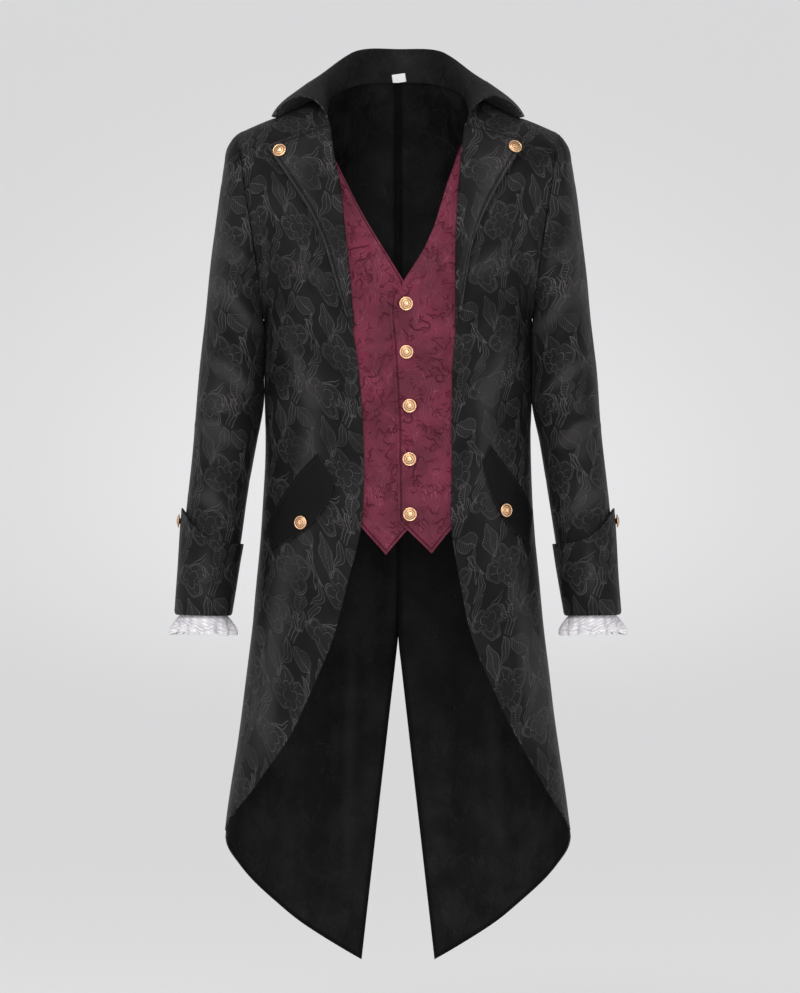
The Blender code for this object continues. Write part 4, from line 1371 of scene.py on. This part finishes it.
def sewn(finish, height, base, stitch):
    """Adds a row of stitches along the cloth's finished edges, and the dip that they pull, with painted shade
    in the dip.
    """
    inset, thread = stitch
    away, length = finish.parts(finish.map("Edge"))
    row = away - inset
    dash = abs(length.wrap(STITCH_SPACING / 2)).under(STITCH_LENGTH / 2)
    seam = row.line(STITCH_WIDTH) * dash
    dip = abs(row).fade(0.0, 0.0022, 1.0, 0.0)
    edge_light = away.fade(0.0002, 0.0012, 0.5, 0.0)
    # painted shade in the dip along the row of stitches
    base = finish.blend(dip * 0.45, base, darker(thread, 0.35))
    base = finish.blend(seam * 0.5 + edge_light, base, (*thread, 1.0))
    return height - dip * 1.4 + seam * 0.9, base


def plain_satin(name, colour, roughness, stitch):
    """Plain cloth, cloudy and finely threaded, with a row of stitches."""
    finish = cloth_finish(name, 0.08)
    cloth = finish.map("Pattern")
    cloud = finish.noise(cloth, SATIN_CLOUD, 3.0)
    fibre = finish.noise(cloth, SATIN_FIBRE, 1.0)
    base = finish.blend(cloud, darker(colour, 0.7), darker(colour, 1.5))
    height, base = sewn(finish, cloud * 1.6 + fibre * 0.15, base, stitch)
    finish.feed("Base Color", base)
    finish.feed("Roughness", cloud * 0.15 + (roughness - 0.08))
    finish.bump(height, 0.0004)
    return finish.material


def waves(value, length):
    return (value * (math.tau / length)).math("SINE")


def lace_net(name, colour):
    """White net with a denser worked edge; the holes are see-through."""
    finish = Finish(name, {"Roughness": 0.75, "Specular IOR Level": 0.2})
    cloth = finish.map("Pattern")
    edge, _ = finish.parts(finish.map("Edge"))
    x, y = finish.parts(cloth)
    net = abs(waves(x + y, NET_HOLE)) * abs(waves(x - y, NET_HOLE))
    open_net = net.fade(0.10, 0.45, 1.0, 0.0)
    flowers = (waves(x, LACE_FLOWER[0]) * waves(y, LACE_FLOWER[1])).fade(0.05, 0.4)
    rows = abs(edge.wrap(LACE_ROW / 2)).fade(0.0004, 0.0009, 1.0, 0.0) * edge.under(LACE_ROWS_END)
    border = edge.fade(0.0012, 0.0032, 1.0, 0.0).top(rows)
    solid = flowers.top(border)
    cover = solid.top(open_net * 0.25 + 0.66)
    cloud = finish.noise(cloth, LACE_CLOUD, 2.0)
    shade = tuple(part * share for part, share in zip(colour, LACE_SHADE))
    light = solid * 0.5 + cloud.fade(0.35, 0.6) * 0.6
    finish.feed("Base Color", finish.blend(light, (*shade, 1.0), (*colour, 1.0)))
    finish.feed("Alpha", cover)
    finish.bump(solid + open_net * 0.5, 0.00012)
    return finish.material


def brass(name, colour):
    """Polished yellow metal, with painted shade in the hollows of its relief."""
    finish = Finish(name, {"Metallic": 1.0})
    where = finish.place()
    cloud = finish.noise(where, BRASS_CLOUD, 3.0)
    scratches = finish.noise(where, BRASS_SCRATCHES, 2.0)
    depth, _ = finish.parts(finish.map("Relief"))
    hollow = depth.fade(0.0, 1.0, 1.0, 0.0)
    # painted shade in the hollows of the relief
    finish.feed("Base Color", finish.blend(hollow * 0.8, (*colour, 1.0), darker(colour, BUTTON_HOLLOW_SHADE)))
    finish.feed("Roughness", cloud * 0.14 + hollow * 0.22 + 0.19)
    finish.bump(scratches * 0.3 + cloud, 0.00008)
    return finish.material


def label_weave(name, colour):
    """Blank woven label, with painted shade where its ends are turned under."""
    finish = Finish(name, {"Roughness": 0.6, "Specular IOR Level": 0.3})
    x, y = finish.parts(finish.map("Pattern"))
    weave = waves(x, LABEL_THREAD) * waves(y, LABEL_THREAD)
    away, _ = finish.parts(finish.map("Edge"))
    fold = away.fade(0.0, 0.0014, 0.8, 0.0)
    # painted shade towards the turned-under ends
    finish.feed("Base Color", finish.blend(fold, (*colour, 1.0), darker(colour, 0.7)))
    finish.bump(weave * 0.5 + fold, 0.0001)
    return finish.material


# ---------------------------------------------------------------- settings

def size(name, description, default, low, high):
    return FloatProperty(name=name, description=description, default=default, min=low, max=high,
                         precision=5, unit="LENGTH")


def tint(name, description, default):
    return FloatVectorProperty(name=name, description=description, default=default, subtype="COLOR")


def power(name, description, default):
    return FloatProperty(name=name, description=description, default=default, min=0.0)


class CoatSettings(bpy.types.PropertyGroup):
    """Sizes and colours of the coat's cloth, lace and metal."""

    repeat_width: size("Repeat width", "Width of one repeat of the woven figure", 0.072, 0.05, 0.3)
    repeat_height: size("Repeat height", "Height of one repeat of the woven figure", 0.151, 0.05, 0.4)
    line_width: size("Figure line", "Width of the raised lines of the figure", 0.0009, 0.0003, 0.004)
    relief: size("Relief", "Height of the woven figure over the ground", 0.0016, 0.0, 0.003)
    black_ground: tint("Black ground", "Ground of the coat cloth", (0.0128, 0.0118, 0.0124))
    black_figure: tint("Black figure", "Raised figure of the coat cloth", (0.080, 0.076, 0.077))
    satin: tint("Satin", "Plain cloth of the pocket flaps", (0.0050, 0.0048, 0.0054))
    burgundy_ground: tint("Burgundy ground", "Ground of the waistcoat cloth", (0.165, 0.020, 0.046))
    burgundy_figure: tint("Burgundy figure", "Raised figure of the waistcoat cloth", (0.270, 0.055, 0.098))
    lace: tint("Lace", "Lace below the cuffs", (0.93, 0.92, 0.93))
    brass: tint("Buttons", "Metal of the buttons", (0.96, 0.58, 0.33))
    label: tint("Label", "Blank label in the collar", (0.84, 0.84, 0.83))


class StageSettings(bpy.types.PropertyGroup):
    """Floor, backdrop, lights and camera."""

    floor_drop: size("Floor", "How far the floor lies below the shoulders", 1.30, 1.2, 3.0)
    backdrop: tint("Backdrop", "Floor and backdrop", (0.40, 0.40, 0.405))
    glow: power("Backdrop glow", "Light that the floor and backdrop give off", 1.22)
    key_power: power("Key light", "Power of the light above", 62.0)
    front_power: power("Front light", "Power of the light in front", 50.0)
    side_power: power("Side lights", "Power of each side light", 12.0)
    backdrop_power: power("Backdrop light", "Power of the light on the backdrop", 10.0)
    room: power("Room light", "Strength of the light from all round", 0.40)
    view_distance: size("Camera", "Distance of the camera from the coat's middle", 8.0, 2.0, 20.0)
    view_width: size("View", "Width that the camera sees at the coat", 1.056, 0.5, 5.0)


FINISHES = {}


def finish_of(settings, name):
    """A finish of the coat, made when it is first asked for."""
    black, figure = tuple(settings.black_ground), tuple(settings.black_figure)
    dark, deep, faint = (tuple(part * share for part in black) for share in (0.5, 0.4, 2.0))
    vest, raised = tuple(settings.burgundy_ground), tuple(settings.burgundy_figure)
    wine = tuple(part * 0.55 for part in vest)
    outside = (name, black, figure, dark, 0.48, settings.relief, settings)
    inside = (name, black, faint, deep, 0.44, settings.relief * 0.6, settings)
    waistcoat = (name, vest, raised, wine, 0.46, settings.relief * 0.7, settings)
    makers = {
        "coat cloth": lambda: woven(*outside),
        "lapel cloth": lambda: woven(*outside, stitch=COAT_STITCH),
        "lining": lambda: woven(*inside, shown=0.6),
        "back lining": lambda: woven(*inside, shown=0.6, seam_shade=0.75),
        "waistcoat cloth": lambda: woven(*waistcoat, 0.14, thread=0.8, stitch=VEST_STITCH, crinkled=1.0),
        "waistcoat lining": lambda: plain_satin(name, wine, 0.45, VEST_STITCH),
        "satin": lambda: plain_satin(name, tuple(settings.satin), 0.55, COAT_STITCH),
        "lace": lambda: lace_net(name, tuple(settings.lace)),
        "brass": lambda: brass(name, tuple(settings.brass)),
        "label": lambda: label_weave(name, tuple(settings.label)),
    }
    if name not in FINISHES:
        FINISHES[name] = makers[name]()
    return FINISHES[name]


# ---------------------------------------------------------------- the coat's pieces

def shifted(across, up, piece):
    """A piece's place on the figured cloth."""
    return across + PATTERN_SHIFTS[piece][0], up + PATTERN_SHIFTS[piece][1]


def body_map(cloth, side, piece):
    """Pattern map of a body panel: round the body from its middle, and up from the hem."""
    first = numpy.abs(cloth.points[:, :1, 0])
    height = cloth.points[:1, :, 2] + cloth.along
    return shifted(side * (cloth.across + first), height, piece)


def tube_map(cloth, side, piece):
    """Pattern map of an upright tube: level distance round it from its foremost line, and height."""
    level = numpy.linalg.norm(numpy.diff(cloth.points[..., :2], axis=1), axis=2)
    level = numpy.concatenate([numpy.zeros_like(level[:, :1]), numpy.cumsum(level, axis=1)], axis=1)
    ahead = level.shape[1] // 4
    out = numpy.abs(cloth.points[:, ahead:ahead + 1, 0])
    return shifted(side * (out + level - level[:, ahead:ahead + 1]), cloth.points[..., 2], piece)


def front_swell(points, side):
    """How far the front's cloth swells or sinks; what lies on it moves with it."""
    return creased(bumps(points, "front", side), points, FRONT_CREASES[side])


def add_front(side, settings):
    word = SIDES[side]
    cloth = Cloth(lambda s, t: front_point(side, s, 2 * t), GRIDS["front"], outward=side)
    pattern = body_map(cloth, side, "front")
    cloth.push(front_swell(cloth.points, side) + seam_dip(cloth.nearest("last column")))
    sheet = make_sheet(f"cloth_front_{word}", cloth, pattern, ("first column", "first row"), COAT_WALL,
                       settings, ("coat cloth", "lining"))
    place(sheet, f"front_{word}")


def add_back(side, settings):
    word = SIDES[side]
    cloth = Cloth(lambda s, t: back_point(side, s, 2 * t), GRIDS["back"], outward=-side)
    points, middle = cloth.points, cloth.nearest("first column")
    vent = numpy.clip((-points[..., 2] - VENT_TOP) / VENT_FREE, 0, 1)
    height = creased(bumps(points, "back", side), points, BACK_CREASES[side])
    height = height * (1 - (1 - vent) * bell(middle, SEAM_HOLD))
    height = height + seam_dip(middle) * (1 - vent) + seam_dip(cloth.nearest("last column"))
    pattern = body_map(cloth, side, "back")
    cloth.push(height)
    sheet = make_sheet(f"cloth_back_{word}", cloth, pattern, ("first column", "first row"), COAT_WALL,
                       settings, ("coat cloth", "back lining"))
    place(sheet, f"back_{word}")


def add_sleeve(side, settings):
    word = SIDES[side]
    cloth = Cloth(lambda s, t: sleeve_point(side, s, t), GRIDS["sleeve"], closed=True, outward=-side)
    points, top = cloth.points, cloth.nearest("first row")
    fullness, below, width = SLEEVE_FULLNESS
    dip, reach = SLEEVE_SEAM_DIP
    height = creased(bumps(points, "sleeve", side), points, SLEEVE_CREASES[side])
    height = height * free(top, SEAM_HOLD) * free(cloth.nearest("last row"), SLEEVE_END_HOLD)
    height = height + fullness * bell(top - below, width) - dip * bell(top, reach)
    pattern = tube_map(cloth, side, "sleeve")
    cloth.push(height)
    sheet = make_sheet(f"cloth_sleeve_{word}", cloth, pattern, (), COAT_WALL, settings,
                       ("coat cloth", "lining"))
    place(sheet, f"sleeve_{word}")


def add_cuff(side, settings):
    word = SIDES[side]
    cloth = Cloth(lambda s, t: cuff_sheet_point(side, s, t), GRIDS["cuff"], closed=True, outward=-side)
    height = bumps(cloth.points, "cuff", side) * free(cloth.nearest("first row"), SEAM_HOLD)
    pattern = tube_map(cloth, side, "cuff")
    cloth.push(creased(height, cloth.points, CUFF_CREASES[side]))
    sheet = make_sheet(f"cloth_cuff_{word}", cloth, pattern, ("first row",), COAT_WALL, settings,
                       ("coat cloth", "lining"))
    place(sheet, f"cuff_{word}")


def add_lace(side, settings):
    word = SIDES[side]
    cloth = Cloth(lambda s, t: lace_point(side, s, t), GRIDS["lace"], closed=True, outward=-side)
    sheet = make_sheet(f"cloth_lace_{word}", cloth, (cloth.across, cloth.along), ("last row",), THIN_WALL,
                       settings, ("lace",), rim_cut=0)
    place(sheet, f"lace_{word}")


def add_collar(settings):
    cloth = Cloth(lambda s, t: collar_point(2 * s - 1, t), GRIDS["collar"], outward=-1)
    borders = ("first column", "last column", "last row")
    height = creased(bumps(cloth.points, "collar"), cloth.points, COLLAR_CREASES)
    pattern = shifted(cloth.across - cloth.across[:, -1:] / 2, cloth.along, "collar")
    cloth.push(height * free(cloth.nearest(*borders), SEAM_HOLD))
    sheet = make_sheet("cloth_collar", cloth, pattern, borders, COAT_WALL, settings, ("coat cloth", "lining"))
    place(sheet, "collar")


def add_label(settings):
    """A small blank label, sewn to the collar's stand at its two ends and bowed a little between them."""
    width, height = LABEL_SIZE
    tilt = math.radians(LABEL_TURN)
    # fine steps up the stand and round it, to find the label's place on it by height and distance out
    runs = [index / 60 for index in range(31)]
    heights = [collar_point(0, run).z for run in runs]
    turns = [index / 200 for index in range(21)]

    def point(across, rise):
        x, z = (across - 0.5) * width, (rise - 0.5) * height
        x, z = x * math.cos(tilt) + z * math.sin(tilt), z * math.cos(tilt) - x * math.sin(tilt)
        x, z = x + LABEL_SPOT[0], z + LABEL_SPOT[1]
        run = float(numpy.interp(z, heights, runs))
        turn = float(numpy.interp(abs(x), [collar_point(turn, run).x for turn in turns], turns))
        off = LABEL_BOW * math.sin(math.pi * across) + LABEL_OFF
        return collar_point(math.copysign(turn, x), run) - Vector((0, off, 0))

    cloth = Cloth(point, GRIDS["label"])
    sheet = make_sheet("cloth_label", cloth, (cloth.across, cloth.along), ("first column", "last column"),
                       THIN_WALL, settings, ("label",), rim_cut=0.0001)
    place(sheet, "label")


def add_lapel(side, settings):
    word = SIDES[side]
    cloth = Cloth(lambda s, t: lapel_sheet_point(side, s, t), GRIDS["lapel"], outward=-side)
    height = front_swell(cloth.points, side) + bumps(cloth.points, "lapel", side)
    height = creased(height, cloth.points, LAPEL_CREASES[side])
    share = (numpy.linspace(0, 1, cloth.points.shape[1]) - LAPEL_ROLLED) / (1 - LAPEL_ROLLED)
    height = height + LAPEL_STANDING * numpy.clip(share, 0, 1) ** LAPEL_STANDING_SHAPE
    pattern = shifted(side * cloth.across, cloth.points[..., 2], "lapel")
    cloth.push(height)
    sheet = make_sheet(f"cloth_lapel_{word}", cloth, pattern, ("last column", "first row"), COAT_WALL,
                       settings, ("lapel cloth", "lining"))
    place(sheet, f"lapel_{word}")


def add_flap(side, settings):
    word = SIDES[side]
    cloth = Cloth(lambda s, t: flap_point(side, s, t), GRIDS["flap"], outward=-side)
    borders = ("first column", "last column", "last row")
    edge = cloth.nearest(*borders)
    swell, inset, width = FLAP_SWELL
    height = front_swell(cloth.points, side) + swell * bell(edge - inset, width)
    cloth.push(height + bumps(cloth.points, "flap", side) * free(edge, FLAP_HOLD))
    sheet = make_sheet(f"cloth_flap_{word}", cloth, (cloth.across, cloth.along), (*borders, "first row"),
                       COAT_WALL, settings, ("satin",))
    place(sheet, f"pocket_flap_{word}")


def add_vest(side, settings):
    word = SIDES[side]
    cloth = Cloth(lambda s, t: vest_point(side, s, t), GRIDS["vest"], outward=-side)
    points, borders = cloth.points, ("first row", "last row", "first column")
    height = creased(bumps(points, "vest", side), points, VEST_CREASES[side])
    pattern = shifted(points[..., 0], points[..., 2], "vest")
    cloth.push(height * free(cloth.nearest(*borders), VEST_HOLD))
    sheet = make_sheet(f"cloth_vest_{word}", cloth, pattern, borders, VEST_WALL, settings,
                       ("waistcoat cloth", "waistcoat lining"), rim_cut=0.0003)
    place(sheet, f"vest_{word}")


# ---------------------------------------------------------------- buttons

def dome_height(radius):
    return BUTTON_CROWN - BUTTON_FALL * (radius / BUTTON_DOME) ** 2


def relief_height(radius, angle):
    """Relief of a button's dome: a five-petalled flower in a ring of leaves, inside a roped rim."""
    share = radius / BUTTON_DOME
    petal = BUTTON_PETALS / 2 * angle
    between, tips = BUTTON_PETAL_RIM
    reach = BUTTON_HEART * (between + tips * abs(math.cos(petal)))
    flower = 1 - ramp(share, *(reach + away for away in BUTTON_PETAL_EDGE))
    low, more, narrow = BUTTON_PETAL_HEIGHT
    flower *= low + more * abs(math.sin(petal)) ** narrow
    boss = (1 - ramp(share, *BUTTON_BOSS)) * BUTTON_BOSS_HEIGHT
    middle, width = BUTTON_LEAF_RING
    low, more = BUTTON_LEAF_HEIGHT
    leaves = low + more * abs(math.sin(BUTTON_LEAVES * angle + BUTTON_LEAF_SLANT * share))
    leaves *= math.exp(-((share - middle) / width) ** 2)
    return max(flower, boss, leaves) * BUTTON_RELIEF


def button_mesh(name):
    """A domed button: a spun section with its relief pushed into the dome and its rim roped."""
    bm = bmesh.new()
    radii = [BUTTON_DOME * index / BUTTON_RINGS for index in range(BUTTON_RINGS + 1)]
    section = [(radius, dome_height(radius)) for radius in radii] + list(BUTTON_RIM)
    verts = [bm.verts.new((radius, 0, height)) for radius, height in section]
    edges = [bm.edges.new(pair) for pair in zip(verts, verts[1:])]
    bmesh.ops.spin(bm, geom=verts + edges, cent=(0, 0, 0), axis=(0, 0, 1), angle=math.tau,
                   steps=BUTTON_TURNS, use_merge=True)
    bmesh.ops.remove_doubles(bm, verts=bm.verts, dist=SAME_SPOT)
    layer = bm.loops.layers.uv.new("Relief")
    heights = {}
    for vert in bm.verts:
        radius, angle = math.hypot(vert.co.x, vert.co.y), math.atan2(vert.co.y, vert.co.x)
        height = 0.0
        if radius <= BUTTON_DOME and vert.co.z > BUTTON_BACK:
            calm = ramp(radius, BUTTON_DOME * BUTTON_CALM, BUTTON_DOME)
            height = relief_height(radius, angle) * (1 - calm)
        elif radius > BUTTON_DOME and vert.co.z > BUTTON_ROPED:
            height = BUTTON_ROPE_HEIGHT * math.sin(BUTTON_ROPE * angle)
        vert.co.z += height
        heights[vert] = 1.0 if radius > BUTTON_DOME else height / BUTTON_RELIEF
    for face in bm.faces:
        for loop in face.loops:
            loop[layer].uv = (heights[loop.vert], 0.0)
    bmesh.ops.recalc_face_normals(bm, faces=bm.faces)
    return to_mesh(bm, name)


def add_button(node, spot, normal, turn, settings):
    mesh = button_mesh(node)
    facing = normal.to_track_quat("Z", "Y").to_matrix().to_4x4()
    mesh.transform(Matrix.Translation(spot) @ facing @ Matrix.Rotation(math.radians(turn), 4, "Z"))
    mesh.materials.append(finish_of(settings, "brass"))
    place(add_object(f"metal_{node}", mesh), node)


def button_places():
    """Node, seat, direction and turn of each button."""
    for number, (x, drop) in enumerate(VEST_BUTTONS, start=1):
        spot = Vector((x, front_depth(x, drop) + VEST_CLEARANCE, -drop))
        yield f"button_vest_{number}", spot, Vector((0, -1, 0)), VEST_BUTTON_TURN * number
    for side, word in SIDES.items():
        for name, spots, base in (
            ("lapel", LAPEL_BUTTONS, 2 * COAT_WALL + LAID_GAP + LAPEL_LIFT + LAPEL_TOP_LIFT / 3),
            ("pocket", FLAP_BUTTONS, 2 * COAT_WALL + LAID_GAP + FLAP_LIFT),
        ):
            out, drop = spots[side]
            base += float(front_swell(numpy.array((side * out, 0.0, -drop)), side))
            base += LAPEL_STANDING * LAPEL_BUTTON_RISE if name == "lapel" else 0.0
            seat = lay(side, out, drop, base)
            outward = seat - lay(side, out, drop, base - 0.01)
            yield f"button_{name}_{word}", seat, outward, FRONT_BUTTON_TURN[side]
        top, bottom = -CUFF_TOP[1] - CUFF_PEAK, -CUFF_BOTTOM[1]
        spot = cuff_point(side, 0.5, (CUFF_BUTTON_DROP - top) / (bottom - top))
        spot += Vector((side * COAT_WALL, 0, 0))
        yield f"button_cuff_{word}", spot, Vector((side, 0, CUFF_BUTTON_LEAN)), CUFF_BUTTON_TURN


# ---------------------------------------------------------------- stage

def stage_section(run):
    """Distance out and height of the stage at a run along its section: flat, then curved, then upright."""
    arc = min(max(run - STAGE_FLAT, 0.0) / STAGE_BEND, math.pi / 2)
    rise = max(run - STAGE_FLAT - STAGE_BEND * math.pi / 2, 0.0)
    return min(run, STAGE_FLAT) + STAGE_BEND * math.sin(arc), STAGE_BEND * (1 - math.cos(arc)) + rise


def add_stage(stage):
    """A pale floor that curves up into a wall all round, soft studio lights and the camera."""
    bm = bmesh.new()
    bmesh.ops.create_grid(bm, x_segments=STAGE_TURNS, y_segments=STAGE_RINGS, size=0.5)
    for vert in bm.verts:
        angle = (vert.co.x + 0.5) * math.tau
        out, height = stage_section((vert.co.y + 0.5) * STAGE_RUN)
        vert.co = Vector((out * math.cos(angle), out * math.sin(angle), height - stage.floor_drop))
    bmesh.ops.remove_doubles(bm, verts=bm.verts, dist=STAGE_SAME_SPOT)
    bmesh.ops.recalc_face_normals(bm, faces=bm.faces)
    mesh = to_mesh(bm, "studio_floor")
    colour = (*stage.backdrop, 1.0)
    finish = Finish("studio floor", {"Roughness": 0.9, "Specular IOR Level": 0.1, "Base Color": colour,
                                     "Emission Color": colour, "Emission Strength": stage.glow})
    mesh.materials.append(finish.material)
    add_object("studio_floor", mesh)

    for name, spot, aim, extent, spread, setting in LIGHTS:
        light = bpy.data.lights.new(f"studio_{name}", "AREA")
        light.shape = "RECTANGLE"
        light.size, light.size_y = extent
        light.spread = math.radians(spread)
        light.energy = getattr(stage, setting)
        lamp = add_object(f"studio_{name}", light)
        lamp.location = spot
        lamp.rotation_euler = (Vector(aim) - Vector(spot)).to_track_quat("-Z", "Y").to_euler()
        lamp.visible_camera = False

    world = bpy.data.worlds.new("studio_room")
    world.use_nodes = True
    glow = world.node_tree.nodes["Background"].inputs
    glow["Color"].default_value = (1.0, 1.0, 1.0, 1.0)
    glow["Strength"].default_value = stage.room
    bpy.context.scene.world = world

    bpy.context.scene.view_settings.view_transform = "Standard"
    camera = bpy.data.cameras.new("studio_camera")
    camera.sensor_fit = "HORIZONTAL"
    camera.sensor_width = SENSOR_WIDTH
    camera.lens = SENSOR_WIDTH * stage.view_distance / stage.view_width
    viewer = add_object("studio_camera", camera)
    viewer.location = (VIEW_MIDDLE[0], -stage.view_distance, VIEW_MIDDLE[1])
    viewer.rotation_euler = (math.pi / 2, 0, 0)
    bpy.context.scene.camera = viewer


# ---------------------------------------------------------------- operators and panel

class CoatOperator(bpy.types.Operator):
    """Makes some of the coat's pieces; a real one says which in make."""

    bl_options = {"REGISTER", "UNDO"}

    def execute(self, context):
        self.make(context.scene.frock_coat)
        return {"FINISHED"}


class FROCKCOAT_OT_body(CoatOperator):
    """Drape the two back halves and the two fronts"""

    bl_idname = "frock_coat.body"
    bl_label = "Body"

    def make(self, settings):
        for side in SIDES:
            add_back(side, settings)
            add_front(side, settings)


class FROCKCOAT_OT_sleeves(CoatOperator):
    """Hang the sleeves with their turned-back cuffs and lace"""

    bl_idname = "frock_coat.sleeves"
    bl_label = "Sleeves, cuffs and lace"

    def make(self, settings):
        for side in SIDES:
            add_sleeve(side, settings)
            add_cuff(side, settings)
            add_lace(side, settings)


class FROCKCOAT_OT_collar(CoatOperator):
    """Turn the collar down and sew in its label"""

    bl_idname = "frock_coat.collar"
    bl_label = "Collar and label"

    def make(self, settings):
        add_collar(settings)
        add_label(settings)


class FROCKCOAT_OT_lapels(CoatOperator):
    """Roll the lapels over the front edges"""

    bl_idname = "frock_coat.lapels"
    bl_label = "Lapels"

    def make(self, settings):
        for side in SIDES:
            add_lapel(side, settings)


class FROCKCOAT_OT_flaps(CoatOperator):
    """Sew on the pocket flaps"""

    bl_idname = "frock_coat.flaps"
    bl_label = "Pocket flaps"

    def make(self, settings):
        for side in SIDES:
            add_flap(side, settings)


class FROCKCOAT_OT_vest(CoatOperator):
    """Fit the two halves of the waistcoat front"""

    bl_idname = "frock_coat.vest"
    bl_label = "Waistcoat front"

    def make(self, settings):
        for side in SIDES:
            add_vest(side, settings)


class FROCKCOAT_OT_buttons(CoatOperator):
    """Sew on the metal buttons"""

    bl_idname = "frock_coat.buttons"
    bl_label = "Buttons"

    def make(self, settings):
        for node, spot, normal, turn in button_places():
            add_button(node, spot, normal, turn, settings)


class FROCKCOAT_OT_stage(bpy.types.Operator):
    """Set up the pale floor, the studio lights and the camera"""

    bl_idname = "frock_coat.stage"
    bl_label = "Stage"
    bl_options = {"REGISTER", "UNDO"}

    def execute(self, context):
        add_stage(context.scene.frock_coat_stage)
        return {"FINISHED"}


MAKERS = (
    FROCKCOAT_OT_body,
    FROCKCOAT_OT_sleeves,
    FROCKCOAT_OT_collar,
    FROCKCOAT_OT_lapels,
    FROCKCOAT_OT_flaps,
    FROCKCOAT_OT_vest,
    FROCKCOAT_OT_buttons,
    FROCKCOAT_OT_stage,
)


class FROCKCOAT_PT_dresser(bpy.types.Panel):
    """The coat's settings and the pieces that can be made"""

    bl_idname = "FROCKCOAT_PT_dresser"
    bl_label = "Frock Coat"
    bl_space_type = "VIEW_3D"
    bl_region_type = "UI"
    bl_category = "Frock Coat"

    def draw(self, context):
        for settings in (context.scene.frock_coat, context.scene.frock_coat_stage):
            for name in settings.__annotations__:
                self.layout.prop(settings, name)
        for maker in MAKERS:
            self.layout.operator(maker.bl_idname)


CLASSES = (CoatSettings, StageSettings, *MAKERS, FROCKCOAT_PT_dresser)


def register():
    for item in CLASSES:
        bpy.utils.register_class(item)
    bpy.types.Scene.frock_coat = PointerProperty(type=CoatSettings)
    bpy.types.Scene.frock_coat_stage = PointerProperty(type=StageSettings)


def unregister():
    del bpy.types.Scene.frock_coat_stage
    del bpy.types.Scene.frock_coat
    for item in reversed(CLASSES):
        bpy.utils.unregister_class(item)


def main():
    register()
    for maker in MAKERS:
        area, name = maker.bl_idname.split(".")
        getattr(getattr(bpy.ops, area), name)()


if __name__ == "__main__":
    main()
